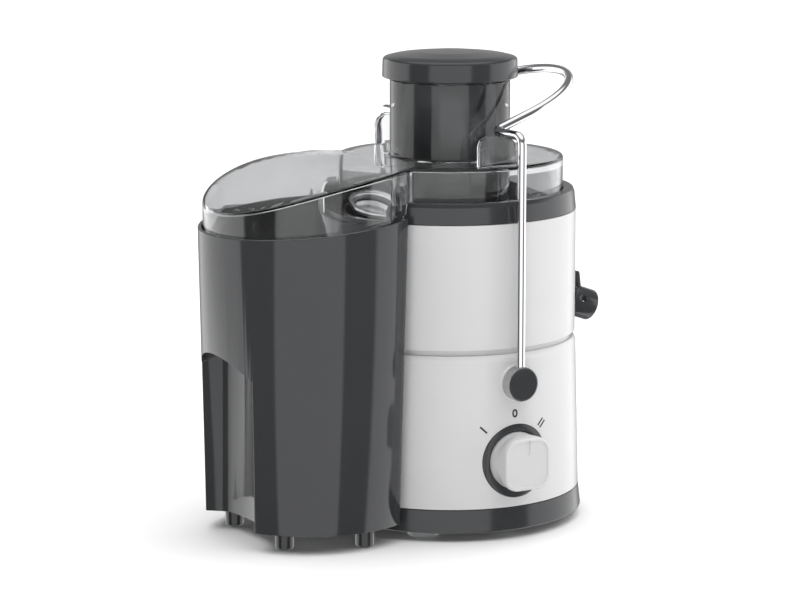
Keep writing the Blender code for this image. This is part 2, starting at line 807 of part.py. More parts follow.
def build_container(root):
    base_radius = CONTAINER_RADIUS - CONTAINER_TAPER

    def shell(name, inset, low, above, finish=None):
        corner = CONTAINER_CORNER - inset
        bottom = container_outline(base_radius - inset, HOLLOW_RADIUS + inset, corner, lambda x: low)
        top = container_outline(
            CONTAINER_RADIUS - inset, HOLLOW_TOP_RADIUS + inset, corner, lambda x: rim_height(x) + above
        )
        return loft(name, [bottom, top], root, finish)

    def recess(name, grow):
        corner = RECESS_CORNER + grow
        bend_x = CONTAINER_X - CONTAINER_RADIUS + RECESS_DEPTH - RECESS_CORNER
        plan = arc((bend_x, RECESS_FLAT), corner, 0, RECESS_FLARE, 4)
        end_x, end_half = plan[-1]
        far_x = X_LOW - 12 * MM
        plan.append((far_x, end_half + (end_x - far_x) / math.tan(math.radians(RECESS_FLARE))))
        top = CONTAINER_BASE + RECESS_HEIGHT + grow
        steps = 12
        sections = []
        for x, half in plan:
            arch = [half * (1 - 2 * i / steps) for i in range(steps + 1)]
            ceiling = [(x, y, top - 10 * MM * (y / (32 * MM)) ** 2) for y in arch]
            sections.append([(x, half, -10 * MM), *ceiling, (x, -half, -10 * MM)])
        return loft(name, sections, root)

    container = shell("pulp_container", 0, CONTAINER_BASE, 0, DARK_GLOSS)
    hollow = shell("container_hollow", THIN_WALL, CONTAINER_BASE + WALL, 5 * MM)
    cut(hollow, recess("recess_wall", THIN_WALL))
    cut(container, hollow, recess("grip_recess", 0))
    pin = [
        (0, CONTAINER_BASE - GAP),
        (PIN_FOOT_RADIUS, CONTAINER_BASE - GAP),
        (PIN_FOOT_RADIUS, 1.0 * MM),
        (PIN_FOOT_RADIUS - 1.0 * MM, 0),
        (0, 0),
    ]
    # two under the far end, two beside the hollow
    spots = [(137.3, base_radius - PIN_FOOT_INSET), (80, base_radius - PIN_FOOT_INSET + 4 * MM)]
    number = 0
    for degrees, radius in spots:
        for side in (-1, 1):
            number += 1
            x = CONTAINER_X + radius * math.cos(math.radians(degrees))
            y = side * radius * math.sin(math.radians(degrees))
            turned(f"container_foot_{number}", pin, root, DARK_GLOSS, (x, y, 0), sides=16)


# ---- lid with its hood, feed tube and lugs ----


def hood_height(x):
    """Top of the hood, flat over the bowl and bent down over the container."""
    past = max(0.0, HOOD_BEND_X - x)
    return Z_LID_TOP - past**2 / (2 * HOOD_BEND_RADIUS)


def build_lid(root):
    far = CONTAINER_X - CONTAINER_RADIUS
    near = -10 * MM

    def hood(name, inset, radius):
        """The round hood over the container, with a sloping foot and a bent top."""
        plan = rod(name, radius, Z_SHELL, Z_TUBE_TOP, root, at=(CONTAINER_X, 0, 0), sides=ROUND)
        crown = [
            (x, hood_height(x) - inset) for x in (near + (far - near) * i / 16 for i in range(17))
        ]
        low = -HOOD_PLUG - (inset * 10)
        foot = [(far, rim_height(far) + low), (near, rim_height(near) + low)]
        combine(plan, prism(f"{name}_side", crown + foot, -80 * MM, 80 * MM, root, along="Y"), "INTERSECT")
        return plan

    edge = 1.2 * MM
    lid = turned(
        "lid",
        [
            (0, Z_LID_TOP),
            (LID_RADIUS - edge, Z_LID_TOP),
            (LID_RADIUS, Z_LID_TOP - edge),
            (LID_RADIUS, Z_LEDGE + 2.0 * MM),
            (0, Z_LEDGE + 2.0 * MM),
        ],
        root,
        CLEAR,
    )
    tube_low = Z_RIM - 11 * MM
    tube = rod("feed_tube", TUBE_RADIUS, tube_low, Z_TUBE_TOP, root, sides=ROUND)
    join(lid, hood("hood", 0, HOOD_RADIUS), tube)
    cavity = rod(
        "lid_cavity", LID_RADIUS - THIN_WALL, tube_low - 10 * MM, Z_LID_TOP - THIN_WALL, root, sides=ROUND
    )
    join(cavity, hood("hood_cavity", THIN_WALL, HOOD_RADIUS - THIN_WALL))
    cut(cavity, rod("tube_keep", TUBE_RADIUS, 0, Z_TUBE_TOP, root, sides=ROUND))
    bore = rod("tube_bore", TUBE_BORE, 0, 2 * Z_TUBE_TOP, root, sides=ROUND)
    # rings that keep the hood off the bowl's rim, off the container's wall and off the gasket
    over_rim = rod(
        "over_rim",
        BODY_RADIUS + 0.7 * MM,
        Z_SHELL,
        Z_LID + GAP,
        root,
        bore=LID_RADIUS + 0.15 * MM,
        sides=ROUND,
    )
    over_wall = rod(
        "over_wall",
        SKIRT_RADIUS + 3.5 * MM,
        Z_SHELL,
        Z_RIM + 6.0 * MM,
        root,
        bore=BODY_RADIUS,
        sides=ROUND,
    )
    under_edge = Z_LEDGE + 2.0 * MM
    over_ledge = rod(
        "over_ledge", RIM_BORE, Z_SHELL, under_edge, root, bore=TUBE_RADIUS + 5 * MM, sides=ROUND
    )
    cut(lid, cavity, bore, over_rim, over_wall, over_ledge)
    seat = Z_BAR - WIRE_RADIUS - GAP
    stop = -(WIRE_RADIUS + GAP)
    lug = [
        (10.0 * MM, Z_LID_TOP - 1.2 * MM),
        (9.5 * MM, seat - 9.0 * MM),
        (7.6 * MM, seat - 2.6 * MM),
        (4.6 * MM, seat - 0.3 * MM),
        (stop + 1.6 * MM, seat),
        (stop, seat + 0.9 * MM),
        (stop - 2.4 * MM, seat + 1.7 * MM),
        (-12.5 * MM, seat + 1.7 * MM),
        (-16.3 * MM, seat - 0.3 * MM),
        (-17.8 * MM, seat - 4.5 * MM),
        (-17.8 * MM, Z_LID_TOP - 1.2 * MM),
    ]
    for side, name in ((-1, "lug_near"), (1, "lug_far")):
        middle = side * LUG_Y
        join(lid, prism(name, lug, middle - LUG_THICKNESS / 2, middle + LUG_THICKNESS / 2, root, along="Y"))


# ---- pusher ----


def build_pusher(pusher):
    low = Z_RIM - 14.5 * MM
    top = Z_CAP - GAP
    bore = PLUNGER_RADIUS - 2.0 * MM
    turned(
        "pusher_body",
        [
            (0, low + WALL),
            (bore, low + WALL),
            (bore, top),
            (PLUNGER_RADIUS, top),
            (PLUNGER_RADIUS, low + 1.5 * MM),
            (PLUNGER_RADIUS - 1.5 * MM, low),
            (0, low),
        ],
        pusher,
        DARK,
    )
    rim = Z_CAP + CAP_HEIGHT - 5.6 * MM
    turned(
        "pusher_cap",
        [
            (0, Z_CAP + CAP_HEIGHT),
            (CAP_RADIUS * 0.45, Z_CAP + CAP_HEIGHT - 0.7 * MM),
            (CAP_RADIUS * 0.82, Z_CAP + CAP_HEIGHT - 2.4 * MM),
            (CAP_RADIUS - 1.0 * MM, rim + 1.4 * MM),
            (CAP_RADIUS, rim),
            (CAP_RADIUS, Z_CAP + 1.0 * MM),
            (CAP_RADIUS - 1.0 * MM, Z_CAP),
            (bore - GAP, Z_CAP),
            (bore - GAP, Z_CAP - 8 * MM),
            (0, Z_CAP - 8 * MM),
        ],
        pusher,
        DARK,
    )


# ---- locking bail, its hubs and pins ----


def build_bail(root, bail):
    bar = Z_BAR - Z_PIVOT
    inner = LOOP_HALF_WIDTH
    reach = LOOP_REACH

    def half(side):
        """From the hub to where the loop's bend starts, on one side."""
        return [
            (0, side * WIRE_Y, 5.0 * MM),
            (0, side * WIRE_Y, bar),
            (0, side * inner, bar),
            (reach - inner, side * inner, bar + LOOP_SLOPE * (reach - inner)),
        ]

    near = rounded_path(half(-1), (5.5 * MM, 5.0 * MM), 6)
    far = rounded_path(half(1), (5.5 * MM, 5.0 * MM), 6)
    bend = [
        Vector((x, y, bar + LOOP_SLOPE * x)) for x, y in arc((reach - inner, 0), inner, -90, 90, 18)[1:-1]
    ]
    wire("locking_bail", near + bend + far[::-1], WIRE_RADIUS, bail, CHROME)
    for side, name, facing in ((-1, "near", "-Y"), (1, "far", "+Y")):
        at = (0, side * HUB_START, 0)
        hub = rod(f"bail_hub_{name}", HUB_RADIUS, 0, HUB_LENGTH, bail, SATIN, at, facing, MEDIUM)
        pin_radius = 3.0 * MM
        pin_bore = rod(
            f"pin_bore_{name}", pin_radius + GAP, -1 * MM, 5.3 * MM, bail, at=at, facing=facing, sides=MEDIUM
        )
        wire_hole = rod(
            f"wire_hole_{name}",
            WIRE_RADIUS + 0.2 * MM,
            4.6 * MM,
            2 * HUB_RADIUS,
            bail,
            at=(0, side * WIRE_Y, 0),
            sides=SMALL,
        )
        cut(hub, pin_bore, wire_hole)
        turned(
            f"bail_cap_{name}",
            [
                (0, 0.9 * MM),
                (HUB_RADIUS - 1.4 * MM, 0.9 * MM),
                (HUB_RADIUS - 0.9 * MM, 0.6 * MM),
                (HUB_RADIUS - 0.9 * MM, GAP),
                (0, GAP),
            ],
            bail,
            DARK,
            (0, side * (HUB_START + HUB_LENGTH), 0),
            facing,
            MEDIUM,
        )
        turned(
            f"pivot_pin_{name}",
            [
                (0, 5.0 * MM),
                (pin_radius, 5.0 * MM),
                (pin_radius, -5.2 * MM),
                (5.5 * MM, -5.2 * MM),
                (5.5 * MM, -7.5 * MM),
                (0, -7.5 * MM),
            ],
            root,
            STEEL,
            (0, side * HUB_START, Z_PIVOT),
            facing,
            SMALL,
        )


# ---- speed knob ----


def build_knob(root, knob, shaft, switch_front):
    well = KNOB_RADIUS + 0.6 * MM
    dial = turned(
        "dial_ring",
        [
            (DIAL_RADIUS, HOUSING_FOOT_RADIUS + 2 * MM),
            (DIAL_RADIUS, KNOB_START - 2.3 * MM),
            (5.0 * MM, KNOB_START - 2.3 * MM),
            (5.0 * MM, KNOB_START - GAP),
            (well, KNOB_START - GAP),
            (well, HOUSING_FOOT_RADIUS + 2 * MM),
        ],
        root,
        DARK,
        (0, 0, Z_KNOB),
        "-Y",
        ring=True,
    )
    # the dial's face follows the housing's wall and stands a little proud of it
    proud = 0.4 * MM
    face = turned(
        "dial_face",
        [
            (0, Z_DECK),
            (housing_radius(Z_DECK) + proud, Z_DECK),
            (housing_radius(Z_HOUSING) + proud, Z_HOUSING),
            (0, Z_HOUSING),
        ],
        root,
    )
    combine(dial, face, "INTERSECT")
    corner = 9.0 * MM
    sides = 32

    def section(half, round_corner, level):
        """A square with round corners, a circle when the corner is the whole half width."""
        flat = half - round_corner
        points = []
        for i in range(sides):
            quarter = i // (sides // 4)
            middle = math.radians(45 + 90 * quarter)
            turn = math.radians(90 * quarter + 90 * (i % (sides // 4)) / (sides // 4 - 1))
            x = math.copysign(flat, math.cos(middle)) + round_corner * math.cos(turn)
            y = math.copysign(flat, math.sin(middle)) + round_corner * math.sin(turn)
            points.append((x, y, level))
        return points

    tiny = 0.02 * MM  # keeps a circle's quarters from meeting point on point
    half = KNOB_FACE / 2
    body = loft(
        "knob",
        [
            section(KNOB_RADIUS - 0.8 * MM, KNOB_RADIUS - 0.8 * MM - tiny, 0),
            section(KNOB_RADIUS, KNOB_RADIUS - tiny, 0.8 * MM),
            section(KNOB_RADIUS - 0.2 * MM, KNOB_RADIUS - 0.9 * MM, KNOB_SUNK + 1.5 * MM),
            section(half + 0.6 * MM, corner + 2.5 * MM, KNOB_LENGTH * 0.75),
            section(half, corner, KNOB_LENGTH - 1.2 * MM),
            section(half - 1.2 * MM, corner - 1.0 * MM, KNOB_LENGTH),
        ],
        knob,
        WHITE,
        (0, -KNOB_START, 0),
        "-Y",
    )
    depth = 10 * MM
    cut(body, rod("knob_bore", shaft + 0.2 * MM, -1 * MM, depth, knob, at=(0, -KNOB_START, 0), facing="-Y"))
    rod(
        "knob_shaft",
        shaft,
        switch_front - 8 * MM,
        KNOB_START + depth - GAP,
        knob,
        STEEL,
        facing="-Y",
    )


# ---- spout ----


def build_spout(root, spout):
    """The neck is fixed to the bowl; the drip-stop nozzle tips up on two pins in its sides."""
    along = dict(at=(0, 0, -SPOUT_DROP), facing="+X")
    pin = 1.5 * MM
    lug = 5.8 * MM
    back = 24.5 * MM
    neck = rod("spout_neck", NECK_RADIUS, -back, 2 * MM, spout, DARK, **along)
    join(neck, rod("neck_lug", 2.5 * MM, -lug, lug, spout, facing="+Y"))
    cut(neck, rod("neck_bore", NECK_BORE, -2 * back, back, spout, **along))
    nozzle = rod(
        "drip_spout",
        SPOUT_RADIUS,
        -10 * MM,
        SPOUT_LENGTH,
        spout,
        DARK,
        bore=SPOUT_RADIUS - SPOUT_WALL,
        **along,
    )
    rise = SPOUT_RADIUS - SPOUT_DROP
    tab = [
        (-3.4 * MM, rise - 1.3 * MM),
        (-0.4 * MM, rise - 1.3 * MM),
        (-2.0 * MM, rise + 1.0 * MM),
        (-5.2 * MM, rise + 7.4 * MM),
        (-6.2 * MM, rise + 8.5 * MM),
        (-8.1 * MM, rise + 8.1 * MM),
        (-8.8 * MM, rise + 6.6 * MM),
        (-6.6 * MM, rise + 2.0 * MM),
        (-3.6 * MM, rise),
    ]
    # the back is cut on a slant, so that the nozzle clears the neck as it tips
    slant = [
        (-3.3 * MM, rise + 1.2 * MM),
        (-9.8 * MM, -SPOUT_RADIUS - SPOUT_DROP - 1 * MM),
        (-20 * MM, -SPOUT_RADIUS - SPOUT_DROP - 1 * MM),
        (-20 * MM, rise + 1.2 * MM),
    ]
    cut(nozzle, prism("nozzle_back", slant, -2 * SPOUT_RADIUS, 2 * SPOUT_RADIUS, spout, along="Y"))
    join(nozzle, prism("thumb_tab", tab, -4 * MM, 4 * MM, spout, along="Y"))
    outer = math.sqrt(SPOUT_RADIUS**2 - SPOUT_DROP**2)
    for name, facing in (("near", "-Y"), ("far", "+Y")):
        hole = rod(f"spout_hole_{name}", pin + GAP, 4.0 * MM, 2 * outer, spout, facing=facing, sides=MEDIUM)
        cut(neck, hole)
        cut(nozzle, hole)
        rod(f"spout_pin_{name}", pin, 4.3 * MM, outer, spout, STEEL, facing=facing, sides=SMALL)


for item in list(bpy.data.objects):
    bpy.data.objects.remove(item)
PARTS = new_collection("centrifugal_juicer")
CUTTERS = new_collection("cutters", hidden=True)

WHITE = material("white_abs", (0.80, 0.80, 0.80), 0.35)
DARK = material("dark_grey_abs", (0.08, 0.085, 0.09), 0.4)
DARK_GLOSS = material("dark_grey_gloss_abs", (0.075, 0.08, 0.085), 0.25)
CLEAR = material("smoked_clear_plastic", (0.55, 0.56, 0.57), 0.05, transmission=0.9)
CHROME = material("chromed_steel_wire", (0.85, 0.85, 0.86), 0.08, metallic=1.0)
SATIN = material("satin_silver", (0.6, 0.6, 0.6), 0.3, metallic=0.6)
STEEL = material("stainless_steel", (0.62, 0.62, 0.62), 0.3, metallic=1.0)
COPPER = material("copper_winding", (0.72, 0.38, 0.2), 0.4, metallic=0.9)
BRASS = material("brass_brush_holder", (0.72, 0.55, 0.25), 0.35, metallic=1.0)
RUBBER = material("black_rubber", (0.03, 0.03, 0.03), 0.8)
CLEAR_RUBBER = material("clear_rubber", (0.75, 0.76, 0.76), 0.3, transmission=0.5)

JUICER = empty("juicer", BASE_CENTRE)
PUSHER = empty("pusher_axis", parent=JUICER)
DRIVE = empty("drive_axis", parent=JUICER)
BAIL = empty("bail_axis", (0, 0, Z_PIVOT), JUICER)
KNOB = empty("knob_axis", (0, 0, Z_KNOB), JUICER)
SPOUT = empty("spout_axis", SPOUT_PIVOT, JUICER, Matrix.Rotation(SPOUT_ANGLE, 4, "Y"))

build_base(JUICER)
build_housing(JUICER)
KNOB_SHAFT, SWITCH_FRONT = build_motor(JUICER, DRIVE)
build_bowl(JUICER, SPOUT)
build_sieve(DRIVE)
build_container(JUICER)
build_lid(JUICER)
build_pusher(PUSHER)
build_bail(JUICER, BAIL)
build_knob(JUICER, KNOB, KNOB_SHAFT, SWITCH_FRONT)
build_spout(JUICER, SPOUT)
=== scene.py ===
"""Looks of a centrifugal juicer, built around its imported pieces.

Sizes are in millimetres about the spindle: +X towards the spout, -X towards the pulp
container, -Y towards the speed knob, and heights from the table up.
"""

import math

import bmesh
import bpy
from mathutils import Matrix, Vector
from mathutils.geometry import delaunay_2d_cdt


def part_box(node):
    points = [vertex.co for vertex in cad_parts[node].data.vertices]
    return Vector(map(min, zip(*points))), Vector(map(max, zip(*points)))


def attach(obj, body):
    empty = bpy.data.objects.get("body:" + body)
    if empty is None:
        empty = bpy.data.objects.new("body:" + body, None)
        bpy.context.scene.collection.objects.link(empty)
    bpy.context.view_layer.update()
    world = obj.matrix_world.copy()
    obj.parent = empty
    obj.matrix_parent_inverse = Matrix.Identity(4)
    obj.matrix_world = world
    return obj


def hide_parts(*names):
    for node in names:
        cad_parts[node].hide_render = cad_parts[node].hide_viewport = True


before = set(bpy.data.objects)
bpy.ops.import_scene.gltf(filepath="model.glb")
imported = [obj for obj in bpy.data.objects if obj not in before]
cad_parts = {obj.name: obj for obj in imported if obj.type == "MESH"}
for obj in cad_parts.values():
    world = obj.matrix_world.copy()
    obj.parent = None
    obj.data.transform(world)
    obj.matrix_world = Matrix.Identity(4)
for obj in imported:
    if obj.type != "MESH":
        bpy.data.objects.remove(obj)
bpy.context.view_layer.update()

ROUND = 160  # facets of a large turned piece
MEDIUM = 80
SMALL = 40
CORNER_STEPS = 5  # facets across a rounded edge
SHARP = 38  # degrees between faces that stay a crisp edge
SQUARE_ON = 0.9999  # how nearly a face looks along an axis to count as square to it


# ---- where things are, read from the frame ----


def low(node):
    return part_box(node)[0] * 1000


def high(node):
    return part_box(node)[1] * 1000


SPINDLE_X = (low("motor_shaft").x + high("motor_shaft").x) / 2
SPINDLE_Y = (low("motor_shaft").y + high("motor_shaft").y) / 2
MM_FRAME = Matrix.Scale(0.001, 4) @ Matrix.Translation((SPINDLE_X, SPINDLE_Y, 0))

Z_SKIRT = low("base_skirt").z
Z_SHELL = low("bowl_shell").z
Z_RIM = low("bowl_rim").z
Z_LID = high("bowl_rim").z
Z_TUBE_TOP = high("lid").z
Z_CAP_TOP = high("pusher_cap").z

# ---- sizes that the looks share ----

SEAM = 0.3  # gap left between two mouldings that meet
BODY_RADIUS = 79.0
Z_HOUSING = 19.8
Z_DECK = 114.7
Z_LEDGE = 199.5
Z_LID_TOP = 228.3
Z_BAR = 248.4
Z_CAP = 276.8
Z_PIVOT = 97.0
Z_KNOB = 48.3
HOUSING_FOOT_RADIUS = 82.0
HOUSING_TOP_RADIUS = 79.5
SKIRT_RADIUS = 83.6
RIM_BORE = 71.0
LID_RADIUS = 70.7
LID_WALL = 2.2
TUBE_RADIUS = 37.5
TUBE_BORE = 35.0
CONTAINER_X = -100.0
CONTAINER_RADIUS = 68.0
CONTAINER_WALL = 2.2
HOOD_RADIUS = 65.0
SIEVE_RADIUS = 63.7
KNOB_START = 77.9
KNOB_LENGTH = 16.78
HUB_START = 81.2
WIRE_Y = 84.55
WIRE_RADIUS = 2.75
SPOUT_PIVOT = (95.3, 0.0, 129.0)
SPOUT_TILT = math.radians(20)
SPOUT_DROP = 2.5

TURN_TO = {
    "+Z": Matrix.Identity(4),
    "-Y": Matrix.Rotation(math.radians(90), 4, "X"),
    "+Y": Matrix.Rotation(math.radians(-90), 4, "X"),
    "+X": Matrix.Rotation(math.radians(90), 4, "Y"),
}
SPOUT_FRAME = Matrix.Translation(SPOUT_PIVOT) @ Matrix.Rotation(SPOUT_TILT, 4, "Y")
SIDES = (("near", -1, "-Y"), ("far", 1, "+Y"))


def at(x=0.0, y=0.0, z=0.0, facing="+Z", within=Matrix.Identity(4)):
    """The frame of a piece: its place, and which way its height axis points."""
    return within @ Matrix.Translation((x, y, z)) @ TURN_TO[facing]


def below(node):
    """The frame on the table, straight under the middle of a node."""
    spot = (low(node) + high(node)) / 2
    return at(spot.x - SPINDLE_X, spot.y - SPINDLE_Y)


# ---- shader nodes ----


def colour(code):
    """A linear colour from an sRGB hex code."""
    parts = [int(code[i : i + 2], 16) / 255 for i in (1, 3, 5)]
    return (*(p / 12.92 if p <= 0.04045 else ((p + 0.055) / 1.055) ** 2.4 for p in parts), 1.0)


def add(tree, kind, inputs=None, **settings):
    """A shader node with its settings, its sockets set to values or linked to other sockets."""
    made = tree.nodes.new(kind)
    for name, value in settings.items():
        setattr(made, name, value)
    for socket, value in (inputs or {}).items():
        if isinstance(value, bpy.types.NodeSocket):
            tree.links.new(value, made.inputs[socket])
        else:
            made.inputs[socket].default_value = value
    return made


def finish(name, fixed):
    """A material with the shader's own fixed values, its tree and its shader."""
    made = bpy.data.materials.new(name)
    made.use_nodes = True
    tree = made.node_tree
    shader = tree.nodes["Principled BSDF"]
    for socket, value in fixed.items():
        shader.inputs[socket].default_value = value
    return made, tree, shader


def per_mm(size):
    """Noise scale for grain of a size in millimetres."""
    return 1000.0 / size


def surface(tree, shader, tinting, pale, deep, wear, gloss_from, gloss_to, strength, depth):
    """Drives the shader's colour from one pattern, and its gloss and relief from another."""
    tint = add(tree, "ShaderNodeMix", {0: tinting, 6: colour(pale), 7: colour(deep)}, data_type="RGBA")
    gloss = add(tree, "ShaderNodeMapRange", {"Value": wear, "To Min": gloss_from, "To Max": gloss_to})
    relief = add(
        tree, "ShaderNodeBump", {"Height": wear, "Strength": strength, "Distance": depth / 1000}
    )
    tree.links.new(tint.outputs[2], shader.inputs["Base Color"])
    tree.links.new(gloss.outputs["Result"], shader.inputs["Roughness"])
    tree.links.new(relief.outputs["Normal"], shader.inputs["Normal"])


def moulded(name, pale, deep, rough, fixed, grain=2.5, depth=0.002, mottle=35.0):
    """Injection-moulded plastic: faint mottle in the colour, fine grain in gloss and surface."""
    made, tree, shader = finish(name, fixed)
    place = add(tree, "ShaderNodeTexCoord").outputs["Object"]
    cloud = add(
        tree, "ShaderNodeTexNoise", {"Vector": place, "Scale": per_mm(mottle), "Detail": 2.0}
    ).outputs["Fac"]
    fine = add(
        tree, "ShaderNodeTexNoise", {"Vector": place, "Scale": per_mm(grain), "Detail": 3.0}
    ).outputs["Fac"]
    surface(tree, shader, cloud, pale, deep, fine, rough * 0.85, rough * 1.15, 0.35, depth)
    return made


def worked_metal(name, pale, deep, rough, fixed, lay=(1.0, 1.0, 1.0), grain=0.6, depth=0.004):
    """Metal whose tool marks run along the lay, which squeezes the grain on each axis."""
    made, tree, shader = finish(name, {"Metallic": 1.0, **fixed})
    place = add(tree, "ShaderNodeTexCoord").outputs["Object"]
    stretched = add(tree, "ShaderNodeMapping", {"Vector": place, "Scale": lay})
    marks = add(
        tree,
        "ShaderNodeTexNoise",
        {"Vector": stretched.outputs["Vector"], "Scale": per_mm(grain), "Detail": 4.0},
    ).outputs["Fac"]
    surface(tree, shader, marks, pale, deep, marks, rough * 0.7, rough * 1.3, 0.4, depth)
    return made


# ABS, injection-moulded in a polished tool: even, with a soft clear gloss
WHITE_ABS = moulded("white_moulded_abs", "#CFCFCF", "#CBCBCB", 0.2, {"IOR": 1.5})
# the same ABS with a darker pigment: a satin black-grey that picks up broad reflections
DARK_ABS = moulded("dark_grey_moulded_abs", "#37383A", "#343537", 0.14, {"IOR": 1.5})
# ABS from a mirror-finished tool: deeper gloss, sharper bands
DARK_GLOSS_ABS = moulded("dark_grey_gloss_abs", "#363739", "#333436", 0.08, {"IOR": 1.5})
# styrene-acrylonitrile, moulded clear with a little smoke in it: glass-like, dark at its edges
SMOKED_SAN = moulded(
    "smoked_clear_san",
    "#E9EAEB",
    "#E5E6E7",
    0.012,
    {"IOR": 1.5, "Transmission Weight": 1.0},
    grain=6.0,
    depth=0.004,
)
# soft clear PVC: milky, with light spreading inside
CLEAR_PVC = moulded(
    "clear_soft_pvc",
    "#E6E8E8",
    "#DDE0E0",
    0.34,
    {"IOR": 1.45, "Transmission Weight": 0.45, "Subsurface Weight": 0.2, "Subsurface Scale": 0.003},
)
# EPDM rubber: matt black with a fine dry grain
BLACK_RUBBER = moulded(
    "black_epdm_rubber", "#1A1A1A", "#111111", 0.75, {"IOR": 1.5}, grain=0.8, depth=0.01
)
# screen-printed ink: flat dark grey, slightly rough
PRINTED_INK = moulded("dark_grey_printed_ink", "#303030", "#282828", 0.5, {"IOR": 1.5}, mottle=3.0)
# chromium over polished steel wire: a mirror with faint drawing marks along the wire
CHROME_WIRE = worked_metal(
    "chromed_steel_wire", "#EDEDEF", "#E6E6E8", 0.03, {}, lay=(1, 1, 0.1), depth=0.0003
)
# satin nickel over ABS: soft silver, turned marks round the hub
SATIN_NICKEL = worked_metal("satin_nickel_plating", "#C4C4C4", "#B2B2B2", 0.3, {}, lay=(1, 0.1, 1))
# steel, blackened in oxide: dark, half matt
BLACKENED_STEEL = worked_metal("blackened_steel", "#3A3A3C", "#2C2C2E", 0.4, {})
# stainless steel, pressed and polished: bright with a short grain
STAINLESS = worked_metal("polished_stainless_steel", "#D2D3D4", "#C0C1C2", 0.2, {}, lay=(1, 1, 0.2))
# mild steel, turned and zinc plated: grey, finely scratched
TURNED_STEEL = worked_metal(
    "turned_zinc_plated_steel", "#B4B5B6", "#9A9B9C", 0.32, {}, lay=(0.2, 0.2, 1)
)
# enamelled copper wire, wound: reddish, in close turns
WOUND_COPPER = worked_metal(
    "wound_enamelled_copper", "#C9744A", "#A65731", 0.35, {}, lay=(1, 1, 0.05), depth=0.05
)
# brass, sawn and tumbled: warm yellow with a dull bloom
TUMBLED_BRASS = worked_metal("tumbled_brass", "#C9A45C", "#B08C48", 0.34, {})


def perforated_steel():
    """Stainless sheet with punched holes in staggered rows round the cone, the holes painted dark grey
    as painted shade for the dark seen through them.
    """
    made, tree, shader = finish("perforated_stainless_sheet", {"Metallic": 1.0})
    # real holes are about 0.5 mm, too fine to show, so they are drawn 1 mm wide and 2 mm apart
    pitch = 2.0
    holes_round = 180
    hole_reach = 0.22  # of the pitch, out to the foot of the hole's edge
    edge_reach = 0.3
    place = add(tree, "ShaderNodeTexCoord").outputs["Object"]
    centred = add(
        tree,
        "ShaderNodeMapping",
        {"Vector": place, "Location": (-SPINDLE_X / 1000, -SPINDLE_Y / 1000, 0)},
    )
    axes = add(tree, "ShaderNodeSeparateXYZ", {"Vector": centred.outputs["Vector"]})
    angle = add(
        tree, "ShaderNodeMath", {0: axes.outputs["Y"], 1: axes.outputs["X"]}, operation="ARCTAN2"
    )
    column = add(
        tree,
        "ShaderNodeMath",
        {0: angle.outputs[0], 1: holes_round / (2 * math.pi)},
        operation="MULTIPLY",
    )
    row = add(tree, "ShaderNodeMath", {0: axes.outputs["Z"], 1: per_mm(pitch)}, operation="MULTIPLY")
    whole_row = add(tree, "ShaderNodeMath", {0: row.outputs[0]}, operation="FLOOR")
    shift = add(tree, "ShaderNodeMath", {0: whole_row.outputs[0], 1: 0.5}, operation="MULTIPLY")
    staggered = add(
        tree, "ShaderNodeMath", {0: column.outputs[0], 1: shift.outputs[0]}, operation="ADD"
    )
    across = add(tree, "ShaderNodeMath", {0: staggered.outputs[0], 1: 1.0}, operation="FLOORED_MODULO")
    along = add(tree, "ShaderNodeMath", {0: row.outputs[0]}, operation="FRACT")
    cell = add(tree, "ShaderNodeCombineXYZ", {"X": across.outputs[0], "Y": along.outputs[0]})
    reach = add(
        tree,
        "ShaderNodeVectorMath",
        {0: cell.outputs["Vector"], 1: (0.5, 0.5, 0.0)},
        operation="DISTANCE",
    )
    sheet = add(
        tree,
        "ShaderNodeMapRange",
        {"Value": reach.outputs["Value"], "From Min": hole_reach, "From Max": edge_reach},
    ).outputs["Result"]
    # the dark grey in the holes is painted shade, standing in for the shaded inside seen through them;
    # bright steel between them
    surface(tree, shader, sheet, "#3A3B3C", "#D4D5D6", sheet, 0.7, 0.22, 0.6, 0.3)
    return made


PERFORATED = perforated_steel()


# ---- making pieces ----


def smooth(piece):
    """Shades a piece smooth, apart from its crisp edges."""
    mesh = piece.data
    mesh.polygons.foreach_set("use_smooth", [True] * len(mesh.polygons))
    mesh.set_sharp_from_angle(angle=math.radians(SHARP))


def placed(name, data):
    """A new object in the scene."""
    made = bpy.data.objects.new(name, data)
    bpy.context.scene.collection.objects.link(made)
    return made


def solid(name, shape, where=Matrix.Identity(4)):
    """An object from a shape in millimetres, with its place in its vertices."""
    bmesh.ops.recalc_face_normals(shape, faces=shape.faces)
    mesh = bpy.data.meshes.new(name)
    shape.to_mesh(mesh)
    shape.free()
    mesh.transform(MM_FRAME @ where)
    return placed(name, mesh)


def settle(piece):
    """Turns the piece's modifiers into its mesh."""
    graph = bpy.context.evaluated_depsgraph_get()
    mesh = bpy.data.meshes.new_from_object(piece.evaluated_get(graph))
    piece.modifiers.clear()
    piece.data = mesh


def carve(piece, tools, operation="DIFFERENCE"):
    """Cuts the tools out of a piece, or joins them to it, and clears them away."""
    for tool in tools:
        step = piece.modifiers.new(tool.name, "BOOLEAN")
        step.operation = operation
        step.object = tool
        step.solver = "EXACT"
    settle(piece)
    for tool in tools:
        bpy.data.objects.remove(tool)


def soften(piece, width, angle=40, segments=2):
    """Rounds the piece's crisp edges."""
    step = piece.modifiers.new("soften", "BEVEL")
    step.limit_method = "ANGLE"
    step.angle_limit = math.radians(angle)
    step.width = width / 1000
    step.segments = segments
    step.use_clamp_overlap = False
    settle(piece)


def dress(piece, skin, body, slot, *nodes, flat_along=None):
    """Gives a piece its finish, ties it to its body, and hides the nodes it stands for.

    Faces square to the flat_along axis keep a flat shade.
    """
    piece.data.materials.clear()
    piece.data.materials.append(skin)
    smooth(piece)
    if flat_along is not None:
        for face in piece.data.polygons:
            if abs(face.normal[flat_along]) > SQUARE_ON:
                face.use_smooth = False
    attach(piece, body)
    if nodes:
        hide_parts(*nodes)
    return piece


